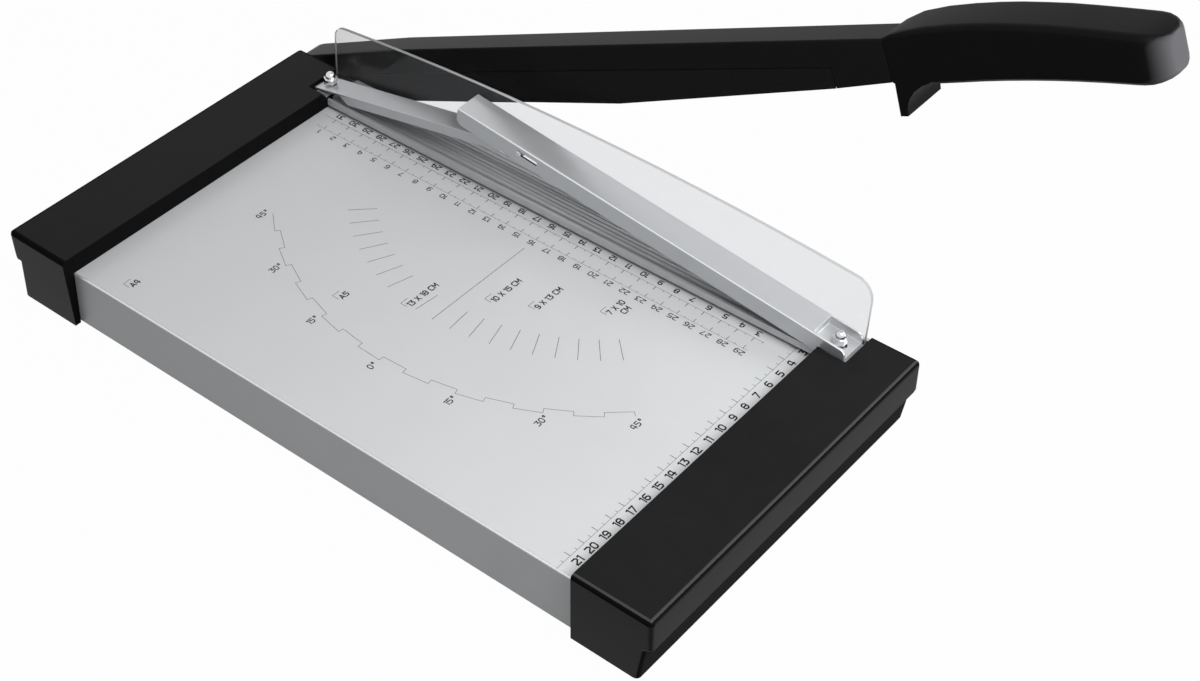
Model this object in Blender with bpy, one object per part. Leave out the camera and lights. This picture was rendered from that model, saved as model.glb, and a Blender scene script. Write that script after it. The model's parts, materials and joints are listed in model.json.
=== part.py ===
"""Guillotine paper cutter with a hand-pressed paper clamp, modelled piece by piece.

The desk machine is a folded sheet-metal bed between two moulded end caps. A steel bar along the
right-hand edge is the fixed blade. The arm with the moving blade swings on a bolt behind the far
cap. Two press levers form a low arch over the clamp rail, joined by a pin that slides in a slot,
and a clear guard stands between them and the arm.

Frame, in metres: +X to the cutting edge, +Y to the pivot end, +Z up. The origin is in the middle
of the underside, between the board's front fold and the cutting edge.
"""

from math import asin, atan2, cos, hypot, pi, radians, sin, sqrt

import bmesh
import bpy
from mathutils import Matrix, Vector

# Driving dimensions of the base
PAPER_SPAN = 0.325
BOARD_DEPTH = 0.2205
BASE_HEIGHT = 0.033
OPERATOR_CAP_WIDTH = 0.0438
PIVOT_CAP_WIDTH = 0.041
CAP_RISE = 0.011
CAP_FRONT_OVERHANG = 0.007
CAP_BACK_SET = 0.0085

# Clearances and the overrun of every cut
GAP = 0.0003
CUT = 0.001

# Folded bed
BED_SHEET = 0.001
BED_FOLD_RADIUS = 0.0016
BED_LIP = 0.010
BED_LIFT = 0.0002
BED_REAR_FLANGE = 0.020
BED_TONGUE = 0.015

# Cross channels under the bed
CHANNEL_COUNT = 3
CHANNEL_PITCH = 0.085
CHANNEL_WIDTH = 0.036
CHANNEL_FLANGE = 0.009
CHANNEL_SHEET = 0.0015
CHANNEL_END_SET = 0.014

# Moulded caps
CAP_WALL = 0.0025
CAP_RIB = 0.002
CAP_EDGE_RADIUS = 0.0025
CAP_DRAFT = 0.003
CAP_STEP_DEPTH = 0.0035
CAP_STEP_LOW = 0.022
CAP_STEP_HIGH = 0.0245
CAP_POCKETS = 6
CAP_BOSS_RADIUS = 0.0045
CAP_BOSS_PLACES = (-0.080, 0.030)
NOTCH_FROM_EDGE = 0.0335
NOTCH_DEPTH = 0.0047
OPERATOR_NOTCH_LENGTH = 0.0165
PIVOT_NOTCH_LENGTH = 0.011
CAP_PARTITION = 0.0035

# Rubber feet
FOOT_RADIUS = 0.007
FOOT_HEIGHT = 0.0042
FOOT_STAND = 0.002
FOOT_BLOCK = 0.020
FOOT_DISH = 0.0015

# Fixed blade and the bar behind it
BAR_THICKNESS = 0.004
BAR_BOTTOM = 0.007
BAR_OVERLAP = 0.012
BACK_BAR_THICKNESS = 0.0025
BACK_BAR_BOTTOM = 0.004
BACK_BAR_TOP = 0.031
BACK_BAR_END_SET = 0.012
BAR_SCREW_COUNT = 4
BAR_SCREW_LEVEL = 0.020
BRACKET_EYE_RADIUS = 0.0135
BRACKET_BOTTOM = 0.0035

# Pivot of the arm
PIVOT_BEYOND_WALL = 0.040
PIVOT_HEIGHT = 0.017
BOLT_RADIUS = 0.004
BOLT_HEAD_RADIUS = 0.008
BOLT_HEAD = 0.0025
BUSH_WALL = 0.002
DISC_SPRING_RADIUS = 0.0095
DISC_SPRING = 0.0012
WASHER_RADIUS = 0.0085
WASHER = 0.0016
PIVOT_NUT_WIDTH = 0.013
PIVOT_NUT_HEX = 0.0065
PIVOT_NUT_COLLAR = 0.0025

# Arm, measured along it from the pivot and up from the pivot
ARM_REST_ANGLE = radians(24.7)
ARM_LENGTH = 0.3995
ARM_WIDTH = 0.0175
ARM_TOP = 0.018
ARM_SHOULDER = 0.075
ARM_END_RADIUS = 0.0156
ARM_NEAR_WALL = 0.004
ARM_WEB = 0.003
ARM_FLANGE = 0.003
ARM_FLANGE_DEPTH = 0.009
ARM_EAR_LENGTH = 0.034
ARM_EDGE_RADIUS = 0.0018
ARM_HEEL = 0.024
ARM_BOTTOM_HEEL = -0.0095
ARM_BOTTOM_KNEE = -0.0082
ARM_BOTTOM_TIP = -0.0035
ARM_RIBS = 9
ARM_RIB = 0.002
TANG_LENGTH = 0.075
TANG_WIDTH = 0.010
TANG_TOP = 0.0135
TANG_BOTTOM = 0.0025
TANG_SIDE_SET = 0.004
TANG_SCREW_SHARES = (0.3, 0.8)

# Moving blade
BLADE_THICKNESS = 0.0017
BLADE_START = 0.026
BLADE_KNEE = ARM_LENGTH - 0.1675
BLADE_END = ARM_LENGTH - 0.0315
BLADE_TOP = 0.004
BLADE_EDGE_START = -0.0122
BLADE_EDGE_KNEE = -0.0145
BLADE_EDGE_END = -0.0064
BLADE_GRIND = 0.0032
BLADE_SCREW_COUNT = 3
BLADE_SCREW_LEVEL = -0.0015

# Handle, measured as the arm is
HANDLE_LENGTH = 0.1325
HANDLE_WIDTH = 0.029
HANDLE_FLARE = 0.009
HANDLE_CORNER = 0.0042
HANDLE_NOSE = 0.0115
STOP_SET = 0.001
STOP_LEAN = 0.0015
STOP_REACH = 0.0170
STOP_TIP = 0.0026
STOP_LENGTH = 0.0235
STOP_SIDE_SET = 0.0003
HANDLE_NOSE_DROP = 0.003

# Top and bottom of the grip at shares of its length, measured from the arm's own top and bottom
HANDLE_LEVELS = ((0.0, 0.0002, -0.0011), (0.02, 0.0014, -0.0014), (0.062, 0.0024, -0.0018), (0.154, 0.0039, -0.0022),
                 (0.257, 0.0047, -0.0017), (0.35, 0.0049, -0.0012), (0.433, 0.0047, -0.001), (0.525, 0.004, -0.001),
                 (0.608, 0.0032, -0.0012), (0.69, 0.002, -0.0016), (0.783, 0.0005, -0.0023),
                 (0.886, -0.0013, -0.0033), (0.947, -0.0024, -0.0037), (1.0, -0.0035, -0.004))

# Press levers and their link
LEVER_FROM_EDGE = 0.032
LEVER_WIDTH = 0.0175
LEVER_SHEET = 0.0012
LEVER_BEND = 0.0009
FRONT_STUD_BEYOND = 0.0065
REAR_STUD_BEYOND = 0.0035
FRONT_LEVER_PAST_LINK = 0.044
FRONT_LEVER_TAIL = 0.0078
FRONT_LEVER_DEPTH = 0.0100
FRONT_WEB_RISE = 0.0058
FRONT_POCKET = 0.0125
FRONT_WALL_START = 0.0072
FRONT_CORNER_RADIUS = 0.004
REAR_LEVER_DEPTH = 0.006
REAR_LEVER_TAIL = 0.0058
REAR_WALL_START = 0.0125
REAR_WEB_END_SET = 0.002
REAR_SIDE_GAP = 0.0008
LINK_SHARE = 0.5776
LINK_RISE = 0.0258
LINK_ABOVE_FRONT_STUD = 0.0017
LINK_BELOW_REAR_STUD = 0.0016
LINK_EAR_RADIUS = 0.0024
LINK_PIN_RADIUS = 0.0009
LINK_HEAD_RADIUS = 0.0017
LINK_HEAD = 0.0009
LINK_PLAY = 0.0003
LINK_SLOT_LENGTH = 0.011
LEVER_ROCK_GAP = 0.0014
HALF_LEVER = LEVER_WIDTH / 2

# Studs, washers and cap nuts of the levers
STUD_RADIUS = 0.002
STUD_HEAD_RADIUS = 0.0036
STUD_HEAD = 0.0021
STUD_SLOT_LENGTH = 0.0085
CAP_NUT_WIDTH = 0.007
CAP_NUT_HEX = 0.0032
CAP_NUT_DOME = 0.0029
CAP_NUT_SHELL = 0.0008

# Clear guard
GUARD_THICKNESS = 0.002
GUARD_OPERATOR_BEYOND = 0.0150
GUARD_PIVOT_BEYOND = 0.0078
GUARD_OPERATOR_TOP = 0.0790
GUARD_PIVOT_TOP = 0.0762
GUARD_ARCH = 0.0078
GUARD_OPERATOR_CORNER = 0.011
GUARD_PIVOT_CORNER = 0.007
GUARD_FOOT = 0.0015
GUARD_FOOT_REACH = 0.0165

# Clamp rail, its guide pins and lift springs
RAIL_FROM_EDGE = 0.0305
RAIL_EDGE_SET = 0.0035
RAIL_LIFT = 0.0022
RAIL_HEIGHT = 0.0037
RAIL_LIP = 0.0015
RAIL_LIP_RISE = 0.0002
RAIL_VALLEY = 0.0025
RAIL_VALLEY_FLOOR = 0.0019
RAIL_GROOVES = 8
RAIL_GROOVE_DEPTH = 0.0004
RAIL_END_SET = 0.0006
GUIDE_PIN_SET = 0.012
GUIDE_PIN_RADIUS = 0.0015
GUIDE_PIN_HEAD_RADIUS = 0.003
GUIDE_PIN_HEAD = 0.001
GUIDE_PIN_RISE = 0.0033
SPRING_WIRE = 0.0006
SPRING_RADIUS = 0.0023
SPRING_TURNS = 3.5
SPRING_WELL_DEPTH = 0.0027

# Screws
SCREW_RADIUS = 0.0015
SCREW_HEAD_RADIUS = 0.003
SCREW_HEAD = 0.002
SCREW_LENGTH = 0.007
BAR_SCREW_RADIUS = 0.002
BAR_SCREW_HEAD_RADIUS = 0.0038

# Facets of round work
ROUND_SIDES = 24
SMALL_SIDES = 14
FILLET_STEPS = 3
ROUND_PROFILE = 0.5
NOSE_STEPS = 5
NOSE_FULLNESS = 0.9

# Places that follow from the sizes above
X_FRONT = -BOARD_DEPTH / 2
X_EDGE = BOARD_DEPTH / 2
Y_WALL = PAPER_SPAN / 2
Y_OPERATOR_END = -Y_WALL - OPERATOR_CAP_WIDTH
Y_PIVOT_END = Y_WALL + PIVOT_CAP_WIDTH
Z_BOARD = BASE_HEIGHT
Z_CAP = Z_BOARD + CAP_RISE
X_CAP_FRONT = X_FRONT - CAP_FRONT_OVERHANG
X_CAP_BACK = X_EDGE - CAP_BACK_SET
Y_PIVOT = Y_WALL + PIVOT_BEYOND_WALL
X_BAR = X_EDGE - BAR_THICKNESS
X_BED_REAR = X_BAR - GAP
X_BRACKET = X_BED_REAR - BED_SHEET
X_BACK_BAR = X_BRACKET - GAP - BACK_BAR_THICKNESS
X_ARM = X_EDGE + GAP
X_LEVER = X_EDGE - LEVER_FROM_EDGE
X_LEVER_FAR = X_LEVER + LEVER_WIDTH
X_STUD = X_LEVER + LEVER_WIDTH / 2
Y_FRONT_STUD = -(Y_WALL + FRONT_STUD_BEYOND)
Y_REAR_STUD = Y_WALL + REAR_STUD_BEYOND
Z_NOTCH = Z_CAP - NOTCH_DEPTH
Z_STUD = Z_NOTCH + GAP + GUARD_FOOT + LEVER_ROCK_GAP + LEVER_SHEET / 2
FRONT_RUN = LINK_SHARE * (Y_REAR_STUD - Y_FRONT_STUD)
REAR_RUN = Y_REAR_STUD - Y_FRONT_STUD - FRONT_RUN
FRONT_LEVER_ANGLE = atan2(LINK_RISE, FRONT_RUN) - asin(LINK_ABOVE_FRONT_STUD / hypot(FRONT_RUN, LINK_RISE))
REAR_LEVER_ANGLE = atan2(LINK_RISE, REAR_RUN) + asin(LINK_BELOW_REAR_STUD / hypot(REAR_RUN, LINK_RISE))
Y_LINK = Y_FRONT_STUD + FRONT_RUN
X_GUARD = X_LEVER_FAR + GAP
HANDLE_START = ARM_LENGTH + GAP
X_RAIL = X_EDGE - RAIL_FROM_EDGE
X_GUIDE = (X_RAIL + X_EDGE - RAIL_EDGE_SET) / 2
Y_GUIDE = Y_WALL - GUIDE_PIN_SET


for leftover in list(bpy.data.objects):
    bpy.data.objects.remove(leftover, do_unlink=True)


# Materials

def make_material(name, colour, roughness, metallic=0.0, alpha=1.0):
    made = bpy.data.materials.new(name)
    made.use_nodes = True
    shader = made.node_tree.nodes["Principled BSDF"]
    shader.inputs["Base Color"].default_value = (*colour, 1.0)
    shader.inputs["Roughness"].default_value = roughness
    shader.inputs["Metallic"].default_value = metallic
    shader.inputs["Alpha"].default_value = alpha
    made.diffuse_color = (*colour, alpha)
    return made


BLACK = (0.012, 0.012, 0.013)
FINISHES = {
    "bed_paint": ((0.60, 0.62, 0.64), 0.38, 0.55, 1.0),
    "cap_plastic": (BLACK, 0.32, 0.0, 1.0),
    "arm_paint": (BLACK, 0.28, 0.0, 1.0),
    "blade_coating": ((0.015, 0.015, 0.016), 0.25, 0.3, 1.0),
    "grip_rubber": ((0.02, 0.02, 0.022), 0.62, 0.0, 1.0),
    "steel": ((0.55, 0.55, 0.56), 0.35, 1.0, 1.0),
    "zinc_steel": ((0.62, 0.63, 0.65), 0.42, 1.0, 1.0),
    "lever_metal": ((0.78, 0.79, 0.80), 0.33, 1.0, 1.0),
    "rail_metal": ((0.72, 0.73, 0.74), 0.36, 1.0, 1.0),
    "chrome": ((0.85, 0.86, 0.87), 0.10, 1.0, 1.0),
    "clear_guard": ((0.95, 0.96, 0.97), 0.05, 0.0, 0.35),
    "foot_rubber": ((0.03, 0.03, 0.03), 0.85, 0.0, 1.0),
    "brass": ((0.72, 0.55, 0.25), 0.35, 1.0, 1.0),
}
MATERIALS = {name: make_material(name, *finish) for name, finish in FINISHES.items()}


# Joint axes: each moving piece is parented to an empty on its joint's axis

def joint_axis(name, place, turn=0.0):
    axis = bpy.data.objects.new(name, None)
    axis.location = place
    axis.rotation_euler = (turn, 0.0, 0.0)
    bpy.context.scene.collection.objects.link(axis)
    return axis


ARM_AXIS = joint_axis("arm_axis", (X_EDGE, Y_PIVOT, PIVOT_HEIGHT), -ARM_REST_ANGLE)
FRONT_AXIS = joint_axis("front_lever_axis", (X_STUD, Y_FRONT_STUD, Z_STUD), FRONT_LEVER_ANGLE)
REAR_AXIS = joint_axis("rear_lever_axis", (X_STUD, Y_REAR_STUD, Z_STUD), -REAR_LEVER_ANGLE)
RAIL_AXIS = joint_axis("clamp_rail_axis", (X_GUIDE, 0.0, Z_BOARD + RAIL_LIFT))
bpy.context.view_layer.update()


# Shape helpers

def add_piece(name, shape, finish, axis=None, smooth=False):
    """Turns a bmesh into a named object. With an axis, the shape is in that axis's own frame."""
    bmesh.ops.recalc_face_normals(shape, faces=shape.faces)
    mesh = bpy.data.meshes.new(name)
    shape.to_mesh(mesh)
    shape.free()
    mesh.materials.append(MATERIALS[finish])
    piece = bpy.data.objects.new(name, mesh)
    bpy.context.scene.collection.objects.link(piece)
    if axis:
        piece.parent = axis
    if smooth:
        shade(piece)
    return piece


def add_each(name, shapes, *look, **more):
    """One object for each shape, numbered from 1."""
    for index, shape in enumerate(shapes):
        add_piece(f"{name}_{index + 1}", shape, *look, **more)


def shade(piece, limit=radians(35)):
    piece.data.shade_smooth()
    piece.data.set_sharp_from_angle(angle=limit)


def cut(piece, *shapes, operation="DIFFERENCE"):
    """Applies a Boolean with each shape, given in the piece's own frame."""
    bpy.context.view_layer.update()
    for shape in shapes:
        tool = add_piece("tool", shape, "steel")
        tool.matrix_world = piece.matrix_world.copy()
        change = piece.modifiers.new("shape", "BOOLEAN")
        change.operation = operation
        change.solver = "EXACT"
        change.object = tool
        bpy.context.view_layer.update()
        graph = bpy.context.evaluated_depsgraph_get()
        result = bpy.data.meshes.new_from_object(piece.evaluated_get(graph))
        piece.modifiers.clear()
        old = piece.data
        piece.data = result
        bpy.data.meshes.remove(old)
        bpy.data.objects.remove(tool, do_unlink=True)
    return piece


def prism(outline, low, high, along="X"):
    """Extrudes a flat outline. The outline is (y, z) along X, (x, z) along Y and (x, y) along Z."""
    shape = bmesh.new()
    place = {"X": lambda a, b: (low, a, b), "Y": lambda a, b: (a, low, b), "Z": lambda a, b: (a, b, low)}
    travel = {"X": (high - low, 0, 0), "Y": (0, high - low, 0), "Z": (0, 0, high - low)}
    face = shape.faces.new([shape.verts.new(place[along](a, b)) for a, b in outline])
    swept = bmesh.ops.extrude_face_region(shape, geom=[face])
    moved = [item for item in swept["geom"] if isinstance(item, bmesh.types.BMVert)]
    bmesh.ops.translate(shape, verts=moved, vec=travel[along])
    return shape


def block(x, y, z):
    """A box from (low, high) pairs."""
    return prism([(x[0], y[0]), (x[1], y[0]), (x[1], y[1]), (x[0], y[1])], z[0], z[1], "Z")


def rod(radius, low, high, centre, along="X", sides=SMALL_SIDES, tip_radius=None):
    """A cylinder or cone along an axis; centre holds the two other coordinates."""
    shape = bmesh.new()
    tip = radius if tip_radius is None else tip_radius
    bmesh.ops.create_cone(shape, cap_ends=True, segments=sides, radius1=radius, radius2=tip, depth=high - low)
    turn = {"X": Matrix.Rotation(pi / 2, 4, "Y"), "Y": Matrix.Rotation(-pi / 2, 4, "X"), "Z": Matrix()}[along]
    middle = (low + high) / 2
    spot = {"X": (middle, *centre), "Y": (centre[0], middle, centre[1]), "Z": (*centre, middle)}[along]
    bmesh.ops.transform(shape, matrix=Matrix.Translation(spot) @ turn, verts=shape.verts)
    return shape


def turned(profile, centre, along="Z", sides=SMALL_SIDES):
    """Spins a (radius, height) profile about an axis through the point centre."""
    shape = bmesh.new()
    spine = [shape.verts.new((radius, 0, height)) for radius, height in profile]
    edges = [shape.edges.new(pair) for pair in zip(spine, spine[1:])]
    if profile[0][0] > 0:
        edges.append(shape.edges.new((spine[-1], spine[0])))
    bmesh.ops.spin(shape, geom=spine + edges, cent=(0, 0, 0), axis=(0, 0, 1), angle=2 * pi, steps=sides,
                   use_merge=True)
    bmesh.ops.remove_doubles(shape, verts=shape.verts, dist=GAP / ROUND_SIDES)
    turn = {"X": Matrix.Rotation(pi / 2, 4, "Y"), "Z": Matrix()}[along]
    bmesh.ops.transform(shape, matrix=Matrix.Translation(centre) @ turn, verts=shape.verts)
    return shape


def together(*shapes):
    """Joins shapes that don't touch into one bmesh."""
    whole = bmesh.new()
    for shape in shapes:
        mesh = bpy.data.meshes.new("shape")
        shape.to_mesh(mesh)
        shape.free()
        whole.from_mesh(mesh)
        bpy.data.meshes.remove(mesh)
    return whole


def round_edges(shape, chosen, radius, steps=FILLET_STEPS):
    bmesh.ops.bevel(shape, geom=chosen, offset=radius, segments=steps, profile=ROUND_PROFILE, affect="EDGES",
                    clamp_overlap=True)
    return shape


def arc(centre, radius, start, end, steps):
    """Points of a circular arc, start and end in degrees."""
    turns = [radians(start + (end - start) * step / steps) for step in range(steps + 1)]
    return [(centre[0] + radius * cos(turn), centre[1] + radius * sin(turn)) for turn in turns]


def lever_stock(half, bottom, top, start, end):
    """A bar along Y whose two upper edges have the levers' bend radius."""
    section = [(-half, bottom), (half, bottom)] + arc((half - LEVER_BEND, top - LEVER_BEND), LEVER_BEND, 0, 90,
                                                      FILLET_STEPS)
    section += arc((LEVER_BEND - half, top - LEVER_BEND), LEVER_BEND, 90, 180, FILLET_STEPS)
    return prism(section, start, end, "Y")


def hexagon(width, centre):
    """Corners of a nut that measures width across its flats."""
    return [(centre[0] + width / sqrt(3) * cos(k * pi / 3), centre[1] + width / sqrt(3) * sin(k * pi / 3))
            for k in range(6)]


def folded(path, thickness, radius):
    """Outline of a sheet folded along a path of its outer side, which turns to its right."""
    def offset(side):
        points = [Vector(path[0])]
        for before, corner, after in zip(path, path[1:], path[2:]):
            corner = Vector(corner)
            into = (corner - Vector(before)).normalized()
            out = (Vector(after) - corner).normalized()
            centre = corner - into * radius + out * radius
            inner = radius - side
            first = corner - into * radius
            towards = (first - centre).normalized()
            swing = atan2(into.x * out.y - into.y * out.x, into.dot(out))
            for step in range(FILLET_STEPS + 1):
                turn = Matrix.Rotation(swing * step / FILLET_STEPS, 2)
                points.append(centre + turn @ towards * inner)
        points.append(Vector(path[-1]))
        start = (Vector(path[1]) - Vector(path[0])).normalized()
        finish = (Vector(path[-1]) - Vector(path[-2])).normalized()
        points[0] += Vector((start.y, -start.x)) * side
        points[-1] += Vector((finish.y, -finish.x)) * side
        return [tuple(point) for point in points]
    return offset(0.0) + offset(thickness)[::-1]


# Base: bed, cross channels, caps and feet

def make_bed():
    """One folded sheet: lip, front face, table and rear flange, with a tongue into each cap."""
    path = [(X_FRONT + BED_LIP, BED_LIFT), (X_FRONT, BED_LIFT), (X_FRONT, Z_BOARD), (X_BED_REAR, Z_BOARD),
            (X_BED_REAR, Z_BOARD - BED_REAR_FLANGE)]
    reach = Y_WALL + BED_TONGUE
    bed = add_piece("bed_sheet", prism(folded(path, BED_SHEET, BED_FOLD_RADIUS), -reach, reach, "Y"),
                    "bed_paint")
    tongue_rear = X_CAP_BACK - CAP_WALL - GAP
    for side in (-1, 1):
        span = sorted((side * (Y_WALL - GAP), side * (reach + CUT)))
        cut(bed, block((tongue_rear, X_EDGE), span, (-CUT, Z_BOARD + CUT)))
    screw_holes = [rod(SCREW_RADIUS + GAP, Z_BOARD - BED_SHEET - CUT, Z_BOARD + CUT, (x, side * boss_row()), "Z")
                   for x in CAP_BOSS_PLACES for side in (-1, 1)]
    pin_holes = [rod(GUIDE_PIN_RADIUS + GAP, Z_BOARD - BED_SHEET - CUT, Z_BOARD + CUT, (X_GUIDE, side * Y_GUIDE),
                     "Z") for side in (-1, 1)]
    bar_holes = [rod(BAR_SCREW_RADIUS + GAP, X_BRACKET - CUT, X_BAR + CUT, (y, BAR_SCREW_LEVEL))
                 for y in bar_screw_rows()]
    return cut(bed, together(*screw_holes, *pin_holes, *bar_holes))


def boss_row():
    """Distance from the middle to the screws that hold a cap to the bed's tongue."""
    return Y_WALL + (CAP_WALL + BED_TONGUE) / 2


def bar_screw_rows():
    reach = Y_WALL - BAR_OVERLAP
    return [-reach + 2 * reach * k / (BAR_SCREW_COUNT - 1) for k in range(BAR_SCREW_COUNT)]


def channel_rows():
    return [(k - (CHANNEL_COUNT - 1) / 2) * CHANNEL_PITCH for k in range(CHANNEL_COUNT)]


def make_cross_channels():
    """Hat sections that keep the bed flat and give it a sole level with the caps."""
    top = Z_BOARD - BED_SHEET - GAP
    half = CHANNEL_WIDTH / 2
    floor = half - CHANNEL_FLANGE
    for index, row in enumerate(channel_rows()):
        hat = [(-half, top), (-floor, top), (-floor, CHANNEL_SHEET), (floor, CHANNEL_SHEET), (floor, top),
               (half, top), (half, top - CHANNEL_SHEET), (floor + CHANNEL_SHEET, top - CHANNEL_SHEET),
               (floor + CHANNEL_SHEET, 0), (-floor - CHANNEL_SHEET, 0),
               (-floor - CHANNEL_SHEET, top - CHANNEL_SHEET), (-half, top - CHANNEL_SHEET)]
        hat = [(row + y, z) for y, z in hat]
        add_piece(f"cross_channel_{index + 1}",
                  prism(hat, X_FRONT + CHANNEL_END_SET, X_BACK_BAR - CHANNEL_END_SET / 2), "zinc_steel")


def foot_row(end):
    """Where the feet stand across a cap that ends at end."""
    return (abs(end) + Y_WALL + BED_TONGUE + 2 * GAP - CAP_STEP_DEPTH - CAP_DRAFT) / 2


def foot_places():
    return (X_CAP_FRONT + CAP_DRAFT + FOOT_BLOCK / 2, X_CAP_BACK - CAP_WALL - FOOT_BLOCK / 2)


def make_cap(name, side, end, notch_length, stud_y):
    """A hollow moulding, open below: a grip step on its outer side, ribs, bosses and a lever notch."""
    outside = abs(end)
    across = [(Y_WALL, 0.0), (outside - CAP_STEP_DEPTH - CAP_DRAFT, 0.0), (outside - CAP_STEP_DEPTH, CAP_STEP_LOW),
              (outside, CAP_STEP_HIGH), (outside, Z_CAP), (Y_WALL, Z_CAP)]
    outer = prism([(side * y, z) for y, z in across], X_CAP_FRONT, X_CAP_BACK)
    for vert in outer.verts:
        if vert.co.x < 0:
            vert.co.x += CAP_DRAFT * (1 - vert.co.z / Z_CAP)
    beyond = [edge for edge in outer.edges if max(abs(vert.co.y) for vert in edge.verts) > Y_WALL + GAP]
    rising = [edge for edge in beyond if abs(edge.verts[0].co.z - edge.verts[1].co.z) > GAP
              and edge.verts[0].co.x * edge.verts[1].co.x > 0]
    top = [edge for edge in beyond if min(vert.co.z for vert in edge.verts) > Z_CAP - GAP]
    cap = add_piece(name, round_edges(outer, list(set(rising + top)), CAP_EDGE_RADIUS), "cap_plastic")

    def span(low, high):
        return tuple(sorted((side * low, side * high)))

    tongue_end = Y_WALL + BED_TONGUE + GAP
    ceiling = Z_CAP - CAP_WALL
    x_notch = X_EDGE - NOTCH_FROM_EDGE
    front = X_CAP_FRONT + CAP_WALL + CAP_DRAFT
    room = add_piece("room", block((front, X_CAP_BACK - CAP_WALL),
                                   span(Y_WALL + CAP_WALL, tongue_end), (-CUT, ceiling)), "steel")
    pad = block((x_notch - CAP_WALL, X_CAP_BACK), span(Y_WALL, tongue_end + CUT),
                (Z_NOTCH - CAP_WALL, Z_CAP))
    bosses = [rod(CAP_BOSS_RADIUS, Z_BOARD + GAP, Z_CAP, (x, side * boss_row()), "Z")
              for x in CAP_BOSS_PLACES]
    cut(room, together(*bosses), pad)
    room_shape = bmesh.new()
    room_shape.from_mesh(room.data)
    bpy.data.objects.remove(room, do_unlink=True)

    mouth = block((X_FRONT - GAP, X_CAP_BACK - CAP_WALL), span(Y_WALL - CUT, Y_WALL + CAP_WALL + CUT),
                  (-CUT, Z_BOARD + GAP))
    first = X_CAP_FRONT + CAP_WALL + FOOT_BLOCK
    last = X_CAP_BACK - CAP_WALL - FOOT_BLOCK
    pitch = (last - first + CAP_RIB) / CAP_POCKETS
    pockets = [block((first + k * pitch, first + (k + 1) * pitch - CAP_RIB),
                     span(tongue_end + CAP_PARTITION, outside - CAP_STEP_DEPTH - CAP_DRAFT - CAP_WALL), (-CUT, ceiling))
               for k in range(CAP_POCKETS)]
    foot_wells = [rod(FOOT_RADIUS + GAP, -CUT, FOOT_HEIGHT - FOOT_STAND + GAP, (x, side * foot_row(end)), "Z",
                      ROUND_SIDES) for x in foot_places()]
    notch = block((x_notch, X_CAP_BACK + CUT), span(Y_WALL - CUT, Y_WALL + notch_length),
                  (Z_NOTCH, Z_CAP + CUT))
    screw_holes = [rod(SCREW_RADIUS + GAP, Z_BOARD, Z_BOARD + SCREW_LENGTH, (x, side * boss_row()), "Z")
                   for x in CAP_BOSS_PLACES]
    stud_hole = rod(STUD_RADIUS + GAP, Z_BOARD, Z_NOTCH + CUT, (X_STUD, stud_y), "Z")
    head_well = rod(STUD_HEAD_RADIUS + GAP, Z_BOARD - CUT, Z_NOTCH - CAP_WALL, (X_STUD, stud_y), "Z",
                    ROUND_SIDES)
    cut(cap, together(room_shape, *pockets, *foot_wells), mouth, notch, head_well,
        together(*screw_holes, stud_hole))
    return cap


def make_feet():
    """Rubber discs with a dished sole, pressed into the caps' corner blocks."""
    rows = (-foot_row(Y_OPERATOR_END), foot_row(Y_PIVOT_END))
    for index, (x, y) in enumerate([(x, y) for y in rows for x in foot_places()]):
        top = FOOT_HEIGHT - FOOT_STAND
        chamfer = FOOT_DISH / 2
        profile = [(0, top), (FOOT_RADIUS, top), (FOOT_RADIUS, -FOOT_STAND + chamfer),
                   (FOOT_RADIUS - chamfer, -FOOT_STAND), (FOOT_RADIUS / 2, -FOOT_STAND),
                   (FOOT_RADIUS / 2 - chamfer, -FOOT_STAND + chamfer), (0, -FOOT_STAND + chamfer)]
        add_piece(f"foot_{index + 1}", turned(profile, (x, y, 0), sides=ROUND_SIDES),
                  "foot_rubber", smooth=True)


def pan_screw(centre, head_side, seat, end):
    """A turned screw along Z: its head starts at seat and lies on the head_side of it."""
    crown = SCREW_HEAD / 3
    far = seat + head_side * SCREW_HEAD
    profile = [(0, end), (SCREW_RADIUS, end), (SCREW_RADIUS, seat), (SCREW_HEAD_RADIUS, seat),
               (SCREW_HEAD_RADIUS, far - head_side * crown), (SCREW_HEAD_RADIUS - crown, far), (0, far)]
    return turned(profile, (centre[0], centre[1], 0))


def make_cap_screws():
    under = Z_BOARD - BED_SHEET - GAP
    end = Z_BOARD + SCREW_LENGTH - GAP
    add_each("cap_screw", [pan_screw((x, side * boss_row()), -1, under, end)
                           for side in (-1, 1) for x in CAP_BOSS_PLACES], "zinc_steel", smooth=True)


# Fixed blade, the bar behind it and the pivot bracket

def countersunk(centre, outer, end):
    """A screw along X with a cone head flush with the outer face."""
    cone = BAR_SCREW_HEAD_RADIUS - BAR_SCREW_RADIUS
    profile = [(0, end), (BAR_SCREW_RADIUS, end), (BAR_SCREW_RADIUS, outer - cone),
               (BAR_SCREW_HEAD_RADIUS, outer), (0, outer)]
    return turned(profile, (0, *centre), "X")


def countersink(centre, outer, end):
    """The hole for a countersunk screw, with its clearance."""
    cone = BAR_SCREW_HEAD_RADIUS - BAR_SCREW_RADIUS
    wide = BAR_SCREW_HEAD_RADIUS + GAP
    slim = BAR_SCREW_RADIUS + GAP
    profile = [(0, end), (slim, end), (slim, outer - cone), (wide, outer), (wide, outer + CUT), (0, outer + CUT)]
    return turned(profile, (0, *centre), "X")


def bracket_screw_places():
    """Three screws in a triangle behind the far cap."""
    near = Y_WALL + CAP_WALL + BAR_SCREW_HEAD_RADIUS + SCREW_RADIUS
    far = Y_PIVOT - BOLT_HEAD_RADIUS - 2 * BAR_SCREW_HEAD_RADIUS
    low = BRACKET_BOTTOM + 2 * BAR_SCREW_HEAD_RADIUS
    high = Z_BOARD - 2 * BAR_SCREW_HEAD_RADIUS
    return [(near, low), (near, high), (far, (low + high) / 2)]


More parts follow.
